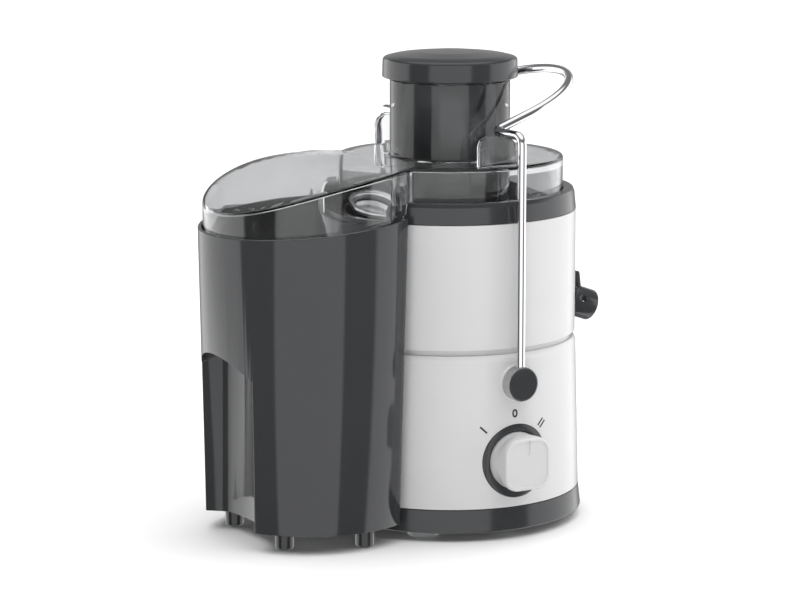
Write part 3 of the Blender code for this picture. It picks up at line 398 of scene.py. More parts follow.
def fillet(corner, back, ahead, half, reach, steps):
    """Points round a corner, from reach along one leg of it to reach along the other."""
    centre = corner + (back + ahead).normalized() * (reach * math.tan(half) / math.sin(half))
    start = corner + back * reach - centre
    end = corner + ahead * reach - centre
    sweep = start.angle(end)
    points = []
    for k in range(steps + 1):
        t = k / steps
        blend = start * math.sin((1 - t) * sweep) + end * math.sin(t * sweep)
        points.append(centre + blend / math.sin(sweep))
    return points


def rounded(outline, closed):
    """An outline of (radius, height, corner radius) points, with its corners rounded."""
    most = 0.49  # of a leg that one corner may take up
    points = []
    for i, (x, y, corner) in enumerate(outline):
        here = Vector((x, y))
        if corner == 0 or (not closed and i in (0, len(outline) - 1)):
            points.append((x, y))
            continue
        back = Vector(outline[i - 1][:2]) - here
        ahead = Vector(outline[(i + 1) % len(outline)][:2]) - here
        half = back.angle(ahead) / 2
        reach = min(corner / math.tan(half), most * back.length, most * ahead.length)
        back.normalize()
        ahead.normalize()
        points += [tuple(p) for p in fillet(here, back, ahead, half, reach, CORNER_STEPS)]
    return points


def circle(radius, steps):
    turns = [2 * math.pi * k / steps for k in range(steps)]
    return [(radius * math.cos(a), radius * math.sin(a)) for a in turns]


def turned(name, outline, where=Matrix.Identity(4), steps=ROUND, ring=False):
    """An outline turned about the height axis."""
    points = rounded(outline, ring)
    shape = bmesh.new()
    rows = []
    for radius, height in points:
        if radius < 1e-6:
            rows.append([shape.verts.new((0, 0, height))] * steps)
            continue
        rows.append([shape.verts.new((x, y, height)) for x, y in circle(radius, steps)])
    pairs = list(zip(rows, rows[1:])) + ([(rows[-1], rows[0])] if ring else [])
    for lower, upper in pairs:
        for k in range(steps):
            j = (k + 1) % steps
            corners = [lower[k], lower[j], upper[j], upper[k]]
            kept = [v for n, v in enumerate(corners) if v not in corners[:n]]
            if len(kept) > 2:
                shape.faces.new(kept)
    return solid(name, shape, where)


def rod(name, radius, start, end, where=Matrix.Identity(4), steps=MEDIUM):
    outline = [(0, end, 0), (radius, end, 0), (radius, start, 0), (0, start, 0)]
    return turned(name, outline, where, steps)


def bridge(shape, lower, upper):
    """A band of faces between two rings of as many points."""
    count = len(lower)
    for k in range(count):
        j = (k + 1) % count
        shape.faces.new((lower[k], lower[j], upper[j], upper[k]))


def lofted(name, sections, where=Matrix.Identity(4), tube=False):
    """A skin through rings of points, capped at its ends, or closed on itself as a tube."""
    shape = bmesh.new()
    rows = [[shape.verts.new(point) for point in section] for section in sections]
    for lower, upper in zip(rows, rows[1:]):
        bridge(shape, lower, upper)
    if tube:
        bridge(shape, rows[-1], rows[0])
    else:
        shape.faces.new(rows[0])
        shape.faces.new(rows[-1])
    return solid(name, shape, where)


def prism(name, outline, start, end, along="Z", where=Matrix.Identity(4)):
    """An outline pushed from start to end along Z, or along Y with its second value the height."""
    if along == "Z":
        sections = [[(a, b, level) for a, b in outline] for level in (start, end)]
    else:
        sections = [[(a, level, b) for a, b in outline] for level in (start, end)]
    return lofted(name, sections, where)


def arc(centre, radius, start, end, count):
    angles = [math.radians(start + (end - start) * i / count) for i in range(count + 1)]
    return [(centre[0] + radius * math.cos(a), centre[1] + radius * math.sin(a)) for a in angles]


# ---- base, housing and bowl shell ----


def housing_radius(height):
    share = (height - Z_HOUSING) / (Z_DECK - Z_HOUSING)
    return HOUSING_FOOT_RADIUS + share * (HOUSING_TOP_RADIUS - HOUSING_FOOT_RADIUS)


def build_base():
    top = Z_HOUSING - SEAM
    wall = 2.5
    lip = 6.6
    ledge = Z_SKIRT + wall
    skirt = turned(
        "skirt_moulding",
        [
            (HOUSING_FOOT_RADIUS, top, 0.5),
            (SKIRT_RADIUS, Z_SKIRT, 1.2),
            (SKIRT_RADIUS - lip, Z_SKIRT, 0.4),
            (SKIRT_RADIUS - lip, ledge, 0),
            (SKIRT_RADIUS - wall, ledge, 0),
            (HOUSING_FOOT_RADIUS - wall, top, 0.3),
        ],
        ring=True,
    )
    dress(skirt, DARK_ABS, "body", "dark_abs", "base_skirt")
    for i in range(1, 5):
        foot = turned(
            f"suction_cup_{i}",
            [
                (0, 12.0, 0),
                (3.2, 12.0, 0.4),
                (3.2, 7.7, 0),
                (5.5, 7.7, 0.3),
                (5.5, 4.9, 0.8),
                (9.6, 4.4, 0.8),
                (10.0, 0, 0.4),
                (7.5, 0, 0.5),
                (4.5, 0.8, 1.0),
                (0, 1.2, 0),
            ],
            below(f"suction_foot_{i}"),
            SMALL,
        )
        dress(foot, CLEAR_PVC, "body", "clear_rubber", f"suction_foot_{i}")
        where = below(f"bottom_screw_{i}")
        screw = turned(
            f"cross_head_screw_{i}",
            [
                (0, 29.8, 0),
                (1.75, 29.8, 0.5),
                (1.75, 7.7, 0),
                (4.0, 7.7, 0.3),
                (3.6, 5.8, 0.9),
                (0, 5.8, 0),
            ],
            where,
            SMALL,
        )
        arms = [
            prism(f"cross_{i}_{n}", [(-a, -b), (a, -b), (a, b), (-a, b)], 5.0, 7.0, where=where)
            for n, (a, b) in enumerate(((2.2, 0.45), (0.45, 2.2)))
        ]
        carve(screw, arms)
        dress(screw, TURNED_STEEL, "body", "steel", f"bottom_screw_{i}")


def build_housing():
    wall = 2.5
    spigot = BODY_RADIUS - 2.8
    spigot_top = 122.0
    seal_bore = 12.3
    cord_height = 29.8
    housing = turned(
        "housing_moulding",
        [
            (spigot, spigot_top, 0.4),
            (spigot, Z_DECK, 0.3),
            (HOUSING_TOP_RADIUS - 1.4, Z_DECK, 0.6),
            (HOUSING_TOP_RADIUS - 0.3, Z_DECK - 2.1, 2.0),
            (housing_radius(Z_DECK - 4.2), Z_DECK - 4.2, 2.0),
            (housing_radius(80), 80, 0),
            (housing_radius(50), 50, 0),
            (HOUSING_FOOT_RADIUS, Z_HOUSING, 0.4),
            (HOUSING_FOOT_RADIUS - wall, Z_HOUSING, 0.2),
            (HOUSING_TOP_RADIUS - wall, Z_DECK - wall, 0),
            (seal_bore, Z_DECK - wall, 0),
            (seal_bore, Z_DECK, 0),
            (spigot - 2.2, Z_DECK, 0.5),
            (spigot - 2.2, spigot_top, 0.4),
        ],
        ring=True,
    )
    dial_hole = rod("dial_hole", 22.9, 0, 100, at(z=Z_KNOB, facing="-Y"), ROUND)
    cord_hole = rod("cord_hole", 6.3, 0, 100, at(z=cord_height, facing="+Y"))
    carve(housing, [dial_hole, cord_hole])
    dress(housing, WHITE_ABS, "body", "white_abs", "lower_housing")
    for side, _, facing in SIDES:
        boss = turned(
            f"pivot_boss_{side}",
            [
                (3.4, HUB_START - SEAM, 0.2),
                (10.9, HUB_START - SEAM, 0.25),
                (13.0, BODY_RADIUS - 1.5, 0),
                (3.4, BODY_RADIUS - 1.5, 0),
            ],
            at(z=Z_PIVOT, facing=facing),
            MEDIUM,
            ring=True,
        )
        dress(boss, WHITE_ABS, "body", "white_abs")
    back = housing_radius(cord_height)
    inlet = turned(
        "cord_inlet_grommet",
        [
            (8.2, back + 2.4, 0.9),
            (8.2, back + 0.3, 0.2),
            (6.0, back + 0.3, 0),
            (6.0, back - 6.0, 0.4),
            (3.6, back - 6.0, 0.4),
            (3.6, back + 2.4, 0.9),
        ],
        at(z=cord_height, facing="+Y"),
        MEDIUM,
        ring=True,
    )
    dress(inlet, BLACK_RUBBER, "body", "rubber", "cord_inlet")


def build_bowl():
    wall = 2.5
    shell = turned(
        "bowl_shell_moulding",
        [
            (BODY_RADIUS, Z_RIM - SEAM, 0.3),
            (BODY_RADIUS, Z_SHELL, 0.7),
            (BODY_RADIUS - wall, Z_SHELL, 0.3),
            (BODY_RADIUS - wall, Z_RIM - SEAM, 0.3),
        ],
        ring=True,
    )
    neck_axis = at(z=-SPOUT_DROP, facing="+X", within=SPOUT_FRAME)
    carve(shell, [rod("neck_hole", 5.7, -40, 0, neck_axis)])
    dress(shell, WHITE_ABS, "body", "white_abs", "bowl_shell")
    collar = turned(
        "spout_collar",
        [(10.0, -15.2, 0.9), (10.0, -24.0, 0), (5.7, -24.0, 0), (5.7, -15.2, 0.4)],
        neck_axis,
        MEDIUM,
        ring=True,
    )
    carve(collar, [rod("collar_trim", BODY_RADIUS - 1.2, 90, 200, steps=ROUND)])
    dress(collar, WHITE_ABS, "body", "white_abs")
    rim = turned(
        "bowl_rim_moulding",
        [
            (77.1, Z_LID, 0.35),
            (78.1, Z_LID - 2.4, 0.6),
            (79.1, Z_RIM, 0.4),
            (66.0, Z_RIM, 0.3),
            (66.0, Z_LEDGE, 0.4),
            (RIM_BORE, Z_LEDGE, 0.3),
            (RIM_BORE, Z_LID, 0.5),
        ],
        ring=True,
    )
    half = 38
    mouth = -39.5
    chute = [(CONTAINER_X, -half), (mouth, -half), (mouth, half), (CONTAINER_X, half)]
    carve(rim, [prism("pulp_chute", chute, Z_LEDGE + 0.8, Z_LID_TOP)])
    dress(rim, DARK_ABS, "body", "dark_abs", "bowl_rim")
    gasket = turned(
        "gasket_ring",
        [(70.2, 199.8, 0.4), (66.8, 199.8, 0.4), (66.8, 201.2, 0.6), (70.2, 201.2, 0.6)],
        ring=True,
    )
    carve(gasket, [prism("gasket_gap", chute, Z_LEDGE - 2, Z_LID_TOP)])
    dress(gasket, BLACK_RUBBER, "body", "rubber", "lid_gasket")
    bowl = turned(
        "juice_bowl_moulding",
        [
            (75.2, Z_RIM - SEAM, 0.4),
            (75.2, 124.0, 2.0),
            (15.0, 124.0, 1.0),
            (15.0, 149.3, 0.4),
            (17.2, 149.3, 0.4),
            (17.2, 126.5, 2.0),
            (73.0, 126.5, 3.0),
            (73.0, Z_RIM - SEAM, 0.4),
        ],
        ring=True,
    )
    carve(bowl, [rod("outlet_hole", 5.0, -40, 0, neck_axis)])
    dress(bowl, DARK_ABS, "body", "dark_abs", "juice_bowl")


def build_sieve():
    thickness = 0.8
    foot = 48.0
    foot_height = 169.6
    head = SIEVE_RADIUS - 1.9
    head_height = 200.5
    mesh = turned(
        "perforated_cone",
        [
            (head, head_height, 0),
            (foot + thickness, foot_height, 0),
            (foot, foot_height, 0),
            (head - thickness, head_height, 0),
        ],
        ring=True,
    )
    dress(mesh, PERFORATED, "drive", "stainless", "sieve_mesh")
    band = turned(
        "sieve_rim_band",
        [
            (SIEVE_RADIUS, 200.8, 0.5),
            (SIEVE_RADIUS, 203.1, 1.0),
            (60.5, 203.1, 1.0),
            (60.5, 200.8, 0.5),
        ],
        ring=True,
    )
    dress(band, STAINLESS, "drive", "stainless", "sieve_rim")


# ---- pulp container ----


def container_outline(radius, hollow, corner):
    """The container's plan: round outside, hollowed to the body, with two round corners."""
    reach = radius - corner
    clear = hollow + corner
    x = (clear**2 - reach**2 + CONTAINER_X**2) / (2 * CONTAINER_X)
    y = math.sqrt(clear**2 - x**2)
    outer = math.degrees(math.atan2(y, x - CONTAINER_X))
    inner = math.degrees(math.atan2(y, x))
    points = arc((CONTAINER_X, 0), radius, outer, 360 - outer, 128)
    points += arc((x, -y), corner, -outer, -inner + 180, 6)[1:-1]
    points += arc((0, 0), hollow, 360 - inner, inner, 48)
    points += arc((x, y), corner, inner - 180, outer, 6)[1:-1]
    return points


def rim_height(x):
    """The container's rim, which slopes down away from the body."""
    return Z_RIM + 5.1 + 0.09 * (x + BODY_RADIUS - 22)


def build_container():
    base = 11.5
    floor = 14.0

    def shell(name, inset, bottom, above):
        corner = 5.0 - inset
        sections = [
            [(x, y, bottom) for x, y in container_outline(65.0 - inset, 85.0 + inset, corner)],
            [
                (x, y, rim_height(x) + above)
                for x, y in container_outline(CONTAINER_RADIUS - inset, 80.5 + inset, corner)
            ],
        ]
        return lofted(name, sections)

    def recess(name, grow):
        flare = 50  # degrees that each side turns out from the wall
        steps = 40
        wall_x = CONTAINER_X - CONTAINER_RADIUS + 24.8 + grow
        plan = [(wall_x - y**2 / 260, y) for y in (4.0, 8.0, 12.0, 16.0, 19.0)]
        corner = 12.0 + grow
        lean = 9  # degrees that the wall has curved by at its ends
        start_x, start_half = plan[-1]
        bend = (
            start_x - corner * math.cos(math.radians(lean)),
            start_half - corner * math.sin(math.radians(lean)),
        )
        plan += arc(bend, corner, lean, flare, 6)[1:]
        end_x, end_half = plan[-1]
        far_x = CONTAINER_X - CONTAINER_RADIUS - 12
        plan.append((far_x, end_half + (end_x - far_x) / math.tan(math.radians(flare))))
        top = base + 106.0 + grow
        sections = []
        for x, half in plan:
            arch = [half * (1 - 2 * i / steps) for i in range(steps + 1)]
            ceiling = [(x, y, top - 10 * (y / 32) ** 2) for y in arch]
            sections.append([(x, half, -10), *ceiling, (x, -half, -10)])
        return lofted(name, sections)

    container = shell("container_moulding", 0, base, 0)
    inside = shell("container_inside", CONTAINER_WALL, floor, 5)
    carve(inside, [recess("recess_wall", CONTAINER_WALL)])
    carve(container, [inside, recess("grip_recess", 0)])
    soften(container, 0.45, 45)
    dress(container, DARK_GLOSS_ABS, "body", "dark_gloss_abs", "pulp_container")
    for i in range(1, 5):
        pin = turned(
            f"container_pin_{i}",
            [(0, 11.2, 0), (5.75, 11.2, 0.2), (5.75, 0, 1.1), (0, 0, 0)],
            below(f"container_foot_{i}"),
            SMALL,
        )
        dress(pin, DARK_GLOSS_ABS, "body", "dark_gloss_abs", f"container_foot_{i}")


# ---- lid with its hood, feed tube and lugs ----

WAIST_CORNER = 3.0  # plan radius where the hood meets the round lid


def lid_outline():
    """The lid's edge in plan, as (centre, radius, angle, sign).

    An inset takes sign * inset off the radius.
    """
    hood = Vector((CONTAINER_X, 0))
    a = HOOD_RADIUS + WAIST_CORNER
    b = LID_RADIUS + WAIST_CORNER
    x = (b**2 - a**2 + CONTAINER_X**2) / (2 * CONTAINER_X)
    y = math.sqrt(b**2 - x**2)
    outer = math.degrees(math.atan2(y, x - CONTAINER_X))
    inner = math.degrees(math.atan2(y, x))
    path = []

    def run(centre, radius, start, end, count, sign):
        for i in range(count):
            path.append((centre, radius, math.radians(start + (end - start) * i / count), sign))

    run(hood, HOOD_RADIUS, outer, 360 - outer, 150, 1)
    run(Vector((x, -y)), WAIST_CORNER, 180 - outer, 180 - inner, 6, -1)
    run(Vector((0, 0)), LID_RADIUS, -inner, inner, 150, 1)
    run(Vector((x, y)), WAIST_CORNER, inner + 180, outer + 180, 6, -1)
    return path


def hood_height(x):
    """Top of the hood, flat over the bowl and bent down over the container."""
    past = max(0.0, CONTAINER_X + 40.0 - x)
    return Z_LID_TOP - past**2 / 450.0


def lid_foot(x, y):
    """Lower edge of the lid's wall: in the bowl's rim, over it, then down into the container."""
    out = math.hypot(x, y)

    def step(start, end):
        t = min(max((out - start) / (end - start), 0.0), 1.0)
        return t * t * (3 - 2 * t)

    over_rim = Z_LID + 0.4
    in_bowl = Z_LEDGE + 2.1
    over_wall = rim_height(x) + 1.5
    plug = rim_height(x) - 3.0
    height = in_bowl + (over_rim - in_bowl) * step(70.75, 71.6)
    height += (over_wall - over_rim) * step(79.6, 81.2)
    height += (plug - over_wall) * step(84.5, 87.5)
    return height


def inside_loop(x, y, loop):
    hit = False
    for (x0, y0), (x1, y1) in zip(loop, loop[1:] + loop[:1]):
        if (y0 > y) != (y1 > y) and x < x0 + (y - y0) * (x1 - x0) / (y1 - y0):
            hit = not hit
    return hit


def build_lid():
    path = lid_outline()
    edge = 1.3
    steps = 112

    def plan(inset):
        return [
            (
                centre.x + (radius - sign * inset) * math.cos(angle),
                centre.y + (radius - sign * inset) * math.sin(angle),
            )
            for centre, radius, angle, sign in path
        ]

    shape = bmesh.new()

    def loop_of(points):
        return [shape.verts.new(point) for point in points]

    def sheet(border, hole, drop):
        """Fills the lid's flat between its border and the feed tube, curved like the hood."""
        spacing = 4.0
        clear = 2.5  # least distance from the tube
        margin = 4.5  # least distance from the border, squared
        outer = [(v.co.x, v.co.y) for v in border]
        inner = [(v.co.x, v.co.y) for v in hole]
        hole_radius = math.hypot(*inner[0])
        field = []
        for i in range(-42, 18):
            for j in range(-18, 19):
                x = i * spacing
                y = (j + 0.5 * (i % 2)) * spacing
                if math.hypot(x, y) < hole_radius + clear or not inside_loop(x, y, outer):
                    continue
                if min((x - a) ** 2 + (y - b) ** 2 for a, b in outer) > margin:
                    field.append((x, y))
        known = border + hole + [shape.verts.new((x, y, hood_height(x) - drop)) for x, y in field]
        flat = [Vector(p) for p in outer + inner + field]
        m = len(outer)
        n = len(inner)
        loops = [(k, (k + 1) % m) for k in range(m)]
        loops += [(m + k, m + (k + 1) % n) for k in range(n)]
        points, _, faces, origin, _, _ = delaunay_2d_cdt(flat, loops, [], 0, 1e-6)
        for face in faces:
            x = sum(points[k][0] for k in face) / len(face)
            y = sum(points[k][1] for k in face) / len(face)
            if math.hypot(x, y) > hole_radius - 0.05 and inside_loop(x, y, outer):
                shape.faces.new([known[origin[k][0]] for k in face])

    def rolled_edge(inset, corner, drop):
        """Loops round an edge, from the flat to the wall."""
        made = []
        for k in range(CORNER_STEPS + 1):
            turn = math.radians(90 * k / CORNER_STEPS)
            points = plan(inset + corner * (1 - math.sin(turn)))
            lowered = drop + corner * (1 - math.cos(turn))
            made.append(loop_of([(x, y, hood_height(x) - lowered) for x, y in points]))
        return made

    outside = rolled_edge(0, edge, 0)
    inside = rolled_edge(LID_WALL, 0.6, LID_WALL)
    foot = [lid_foot(x, y) for x, y in plan(0)]
    outer_foot = loop_of([(x, y, z) for (x, y), z in zip(plan(0.25), foot)])
    outer_above = loop_of([(x, y, z + 0.5) for (x, y), z in zip(plan(0), foot)])
    inner_foot = loop_of([(x, y, z) for (x, y), z in zip(plan(LID_WALL - 0.2), foot)])
    skin = outside + [outer_above, outer_foot, inner_foot] + inside[::-1]
    for upper, lower in zip(skin, skin[1:]):
        bridge(shape, upper, lower)
    root = 1.4
    tube_end = 184.3
    chamfer = 0.6
    profile = [(TUBE_RADIUS + root, Z_LID_TOP)]
    profile += [
        (
            TUBE_RADIUS + root * (1 - math.sin(math.radians(22.5 * k))),
            Z_LID_TOP + root * (1 - math.cos(math.radians(22.5 * k))),
        )
        for k in range(1, 5)
    ]
    profile += [
        (TUBE_RADIUS, Z_TUBE_TOP - 0.7),
        (TUBE_RADIUS - 0.2, Z_TUBE_TOP - 0.2),
        (TUBE_RADIUS - 0.7, Z_TUBE_TOP),
        (TUBE_BORE + 0.7, Z_TUBE_TOP),
        (TUBE_BORE + 0.2, Z_TUBE_TOP - 0.2),
        (TUBE_BORE, Z_TUBE_TOP - 0.7),
        (TUBE_BORE, tube_end + chamfer),
        (TUBE_BORE + chamfer, tube_end),
        (TUBE_RADIUS - chamfer, tube_end),
        (TUBE_RADIUS, tube_end + chamfer),
        (TUBE_RADIUS, Z_LID_TOP - LID_WALL),
    ]
    tube = [
        loop_of([(x, y, height) for x, y in circle(radius, steps)]) for radius, height in profile
    ]
    for upper, lower in zip(tube, tube[1:]):
        bridge(shape, upper, lower)
    sheet(outside[0], tube[0], 0)
    sheet(inside[0], tube[-1], LID_WALL)
    lid = solid("lid_moulding", shape)
    dress(lid, SMOKED_SAN, "body", "smoked_clear", "lid")

    seat = Z_BAR - WIRE_RADIUS - SEAM
    stop = -3.05
    lift = 0.03  # keeps the lugs and ribs off the lid's own surface
    foot_of_lug = Z_LID_TOP + lift
    lug = [
        (10.0, foot_of_lug, 0),
        (9.5, seat - 9.0, 3.0),
        (7.6, seat - 2.6, 2.0),
        (4.6, seat - 0.3, 1.2),
        (stop + 1.6, seat, 0.6),
        (stop, seat + 0.9, 0.6),
        (stop - 2.4, seat + 1.7, 1.0),
        (-12.5, seat + 1.7, 3.0),
        (-16.3, seat - 0.3, 3.0),
        (-17.8, seat - 4.5, 3.0),
        (-17.8, foot_of_lug, 0),
    ]
    half = 1.5
    for side, sign, _ in SIDES:
        middle = sign * 63.0
        plate = prism(f"lug_{side}", rounded(lug, True), middle - half, middle + half, "Y")
        soften(plate, 0.5, 50, 3)
        dress(plate, SMOKED_SAN, "body", "smoked_clear")
    # finger ribs on the hood's far shoulder, as arcs about one centre
    rib_x, rib_y = -88, 14
    for n in range(5):
        radius = 32.0 + 3.4 * n
        span = 34 - 4.5 * abs(n - 2)
        ribs = []
        for k in range(25):
            turn = math.radians(52 + span * (k / 12 - 1))
            x = rib_x + radius * math.cos(turn)
            y = rib_y + radius * math.sin(turn)
            half = 0.75 * math.sin(math.pi * (k + 0.6) / 25.2)
            out = Vector((math.cos(turn), math.sin(turn)))
            top = hood_height(x)
            ribs.append(
                [
                    (x - out.x * half, y - out.y * half, top + lift),
                    (x, y, top + lift + half),
                    (x + out.x * half, y + out.y * half, top + lift),
                ]
            )
        dress(lofted(f"hood_rib_{n}", ribs), SMOKED_SAN, "body", "smoked_clear")


# ---- pusher ----


def build_pusher():
    radius = 34.4
    bore = 32.4
    bottom = 180.8
    floor = 183.3
    top = Z_CAP - SEAM
    body = turned(
        "pusher_tube",
        [
            (0, floor, 0),
            (bore, floor, 1.0),
            (bore, top, 0.3),
            (radius, top, 0.3),
            (radius, bottom, 1.5),
            (0, bottom, 0),
        ],
    )
    dress(body, DARK_GLOSS_ABS, "pusher", "dark_abs", "pusher_body")
    rim = Z_CAP_TOP - 5.6
    plug = 8.0
    cap = turned(
        "pusher_cap_moulding",
        [
            (0, Z_CAP_TOP, 0),
            (19.0, Z_CAP_TOP - 0.7, 30.0),
            (34.7, Z_CAP_TOP - 2.4, 30.0),
            (41.9, rim + 1.4, 2.2),
            (42.3, Z_CAP, 0.9),
            (bore - SEAM, Z_CAP, 0),
            (bore - SEAM, Z_CAP - plug, 0.6),
            (0, Z_CAP - plug, 0),
        ],
    )
    dress(cap, DARK_ABS, "pusher", "dark_abs", "pusher_cap")


# ---- locking bail ----


def bent_path(corners, radii, steps):
    """A path through corners, each interior one turned on its own radius."""
    path = [Vector(corners[0])]
    for before, corner, after, radius in zip(corners, corners[1:], corners[2:], radii):
        corner = Vector(corner)
        back = (Vector(before) - corner).normalized()
        ahead = (Vector(after) - corner).normalized()
        half = back.angle(ahead) / 2
        path += fillet(corner, back, ahead, half, radius / math.tan(half), steps)
    path.append(Vector(corners[-1]))
    return path


def build_bail():
    inner = 53.0
    reach = 78.0
    slope = 0.37

    def half(side):
        return [
            (0, side * WIRE_Y, Z_PIVOT + 5.0),
            (0, side * WIRE_Y, Z_BAR),
            (0, side * inner, Z_BAR),
            (reach - inner, side * inner, Z_BAR + slope * (reach - inner)),
        ]

    radii = (5.5, 5.0)
    near = bent_path(half(-1), radii, 16)
    far = bent_path(half(1), radii, 16)
    front = arc((reach - inner, 0), inner, -90, 90, 64)[1:-1]
    bend = [Vector((x, y, Z_BAR + slope * x)) for x, y in front]
    curve = bpy.data.curves.new("bail_wire", "CURVE")
    curve.dimensions = "3D"
    curve.bevel_depth = WIRE_RADIUS
    curve.bevel_resolution = 6
    curve.use_fill_caps = True
    path = near + bend + far[::-1]
    line = curve.splines.new("POLY")
    line.points.add(len(path) - 1)
    for point, spot in zip(line.points, path):
        point.co = (*spot, 1)
    wire = placed("bail_wire", curve)
    graph = bpy.context.evaluated_depsgraph_get()
    mesh = bpy.data.meshes.new_from_object(wire.evaluated_get(graph))
    bpy.data.objects.remove(wire)
    mesh.transform(MM_FRAME)
    bail = placed("bail_wire", mesh)
    dress(bail, CHROME_WIRE, "bail", "chrome", "locking_bail")
    for side, sign, facing in SIDES:
        where = at(0, sign * HUB_START, Z_PIVOT, facing)
        hub = turned(
            f"hub_{side}",
            [
                (0, 6.3, 0),
                (9.8, 6.3, 0),
                (9.9, 6.9, 0.1),
                (10.65, 6.9, 0.5),
                (10.65, 0, 0.3),
                (3.3, 0, 0),
                (3.3, 5.3, 0),
                (0, 5.3, 0),
            ],
            where,
        )
        hole = rod(f"wire_hole_{side}", 2.95, 4.6, 21, at(0, sign * WIRE_Y, Z_PIVOT), SMALL)
        carve(hub, [hole])
        dress(hub, SATIN_NICKEL, "bail", "satin_silver", f"bail_hub_{side}")
        cap = turned(
            f"hub_cap_{side}",
            [(0, 7.45, 0), (9.4, 7.45, 0.35), (9.75, 6.9, 0.1), (0, 6.6, 0)],
            where,
        )
        dress(cap, DARK_ABS, "bail", "dark_abs", f"bail_cap_{side}", flat_along=1)


# ---- speed knob, its dial and the marks round it ----


def build_knob():
    rim = 22.6
    well = 18.5
    bore = 5.0
    beyond = 95.0  # past the housing's wall, where the dial is cut off
    outline = [
        (rim, beyond, 0),
        (rim, KNOB_START - 2.3, 0.3),
        (bore, KNOB_START - 2.3, 0),
        (bore, KNOB_START - SEAM, 0),
        (well, KNOB_START - SEAM, 0.6),
        (well, beyond, 0),
    ]
    where = at(z=Z_KNOB, facing="-Y")
    dial = turned("dial_dish", outline, where, ring=True)
    proud = 0.4
    face = turned(
        "dial_face",
        [
            (0, 130, 0),
            (housing_radius(130) + proud, 130, 0),
            (housing_radius(0) + proud, 0, 0),
            (0, 0, 0),
        ],
        steps=360,
    )
    carve(dial, [face], "INTERSECT")
    soften(dial, 0.35, 50)
    dress(dial, DARK_ABS, "body", "dark_abs", "dial_ring")

    def section(half, corner, level, count=96):
        """A square with round corners, a circle when the corner is the whole half width."""
        flat = half - corner
        points = []
        quarter = count // 4
        for i in range(count):
            side = i // quarter
            middle = math.radians(45 + 90 * side)
            turn = math.radians(90 * side + 90 * (i % quarter) / (quarter - 1))
            points.append(
                (
                    math.copysign(flat, math.cos(middle)) + corner * math.cos(turn),
                    math.copysign(flat, math.sin(middle)) + corner * math.sin(turn),
                    level,
                )
            )
        return points

    waist, waist_corner, waist_level = 17.75, 17.3, 4.4
    end, end_corner, climb = 16.1, 9.4, 10.9
    sections = [
        section(17.1, 17.08, 0),
        section(17.9, 17.88, 0.8),
        section(waist, waist_corner, waist_level),
    ]
    for k in range(1, 12):
        t = k / 12
        ease = t * t * (3 - 2 * t)
        half = waist + (end - waist) * t**0.9
        corner = waist_corner + (end_corner - waist_corner) * ease
        sections.append(section(half, corner, waist_level + climb * t))
    roll = 1.3
    for k in range(6):
        turn = math.radians(18 * k)
        drop = roll * (1 - math.sin(turn))
        inset = roll * (1 - math.cos(turn))
        sections.append(section(end - inset, end_corner - inset, KNOB_LENGTH - drop))
    # a raised border round a panel that is sunk a little
    sections.append(section(14.2, 7.9, KNOB_LENGTH))
    sections.append(section(13.9, 7.6, KNOB_LENGTH - 0.15))
    sections.append(section(13.8, 7.5, KNOB_LENGTH - 0.5))
    where = at(0, -KNOB_START, Z_KNOB, "-Y")
    body = lofted("knob_moulding", sections, where)
    half = 1.25
    groove_end = 14.6
    pointer = arc((0, 7.2), half, 180, 360, 12)
    pointer += [(half, groove_end), (-half, groove_end)]
    groove = prism("pointer_groove", pointer, KNOB_LENGTH - 0.95, KNOB_LENGTH + 1, where=where)
    carve(body, [groove, rod("shaft_hole", 3.2, -1, 10, where, SMALL)])
    soften(body, 0.18, 50, 2)
    dress(body, WHITE_ABS, "speed_knob", "white_abs", "knob", flat_along=1)


def printed(name, path, width, centre, turn, closed=False):
    """A line of ink on the housing's wall, beside the knob, turned to point at it."""
    sections = []
    count = len(path)
    for i, (x, y) in enumerate(path):
        before = Vector(path[i - 1] if closed or i else path[i])
        after = Vector(path[(i + 1) % count] if closed or i < count - 1 else path[i])
        along = (after - before).normalized()
        side = Vector((-along.y, along.x)) * (width / 2)
        corners = []
        for offset, lift in ((side, 0.05), (side, -0.2), (-side, -0.2), (-side, 0.05)):
            a, b = x + offset.x, y + offset.y
            across = centre[0] + a * math.cos(turn) - b * math.sin(turn)
            height = Z_KNOB + centre[1] + a * math.sin(turn) + b * math.cos(turn)
            wall = math.sqrt((housing_radius(height) + lift) ** 2 - across**2)
            corners.append((across, -wall, height))
        sections.append(corners)
    mark = lofted(name, sections, tube=closed)
    dress(mark, PRINTED_INK, "body", "white_abs")


def build_marks():
    radius = 28.8
    aside = -1.2  # of the knob's axis
    above = 0.8
    stroke = 1.1
    half = 2.9
    line = [(0, half * (k / 4 - 1)) for k in range(9)]
    for name, degrees, spots in (("mark_low", 136, (0,)), ("mark_high", 45, (-1.15, 1.15))):
        angle = math.radians(degrees)
        centre = (radius * math.cos(angle) + aside, radius * math.sin(angle) + above)
        for n, shift in enumerate(spots):
            path = [(x + shift, y) for x, y in line]
            printed(f"{name}_{n}", path, stroke, centre, angle - math.pi / 2)
    turns = [math.radians(10 * k) for k in range(36)]
    oval = [(1.35 * math.cos(a), 2.1 * math.sin(a)) for a in turns]
    printed("mark_off", oval, stroke, (aside, radius + above), 0, closed=True)


# ---- spout ----


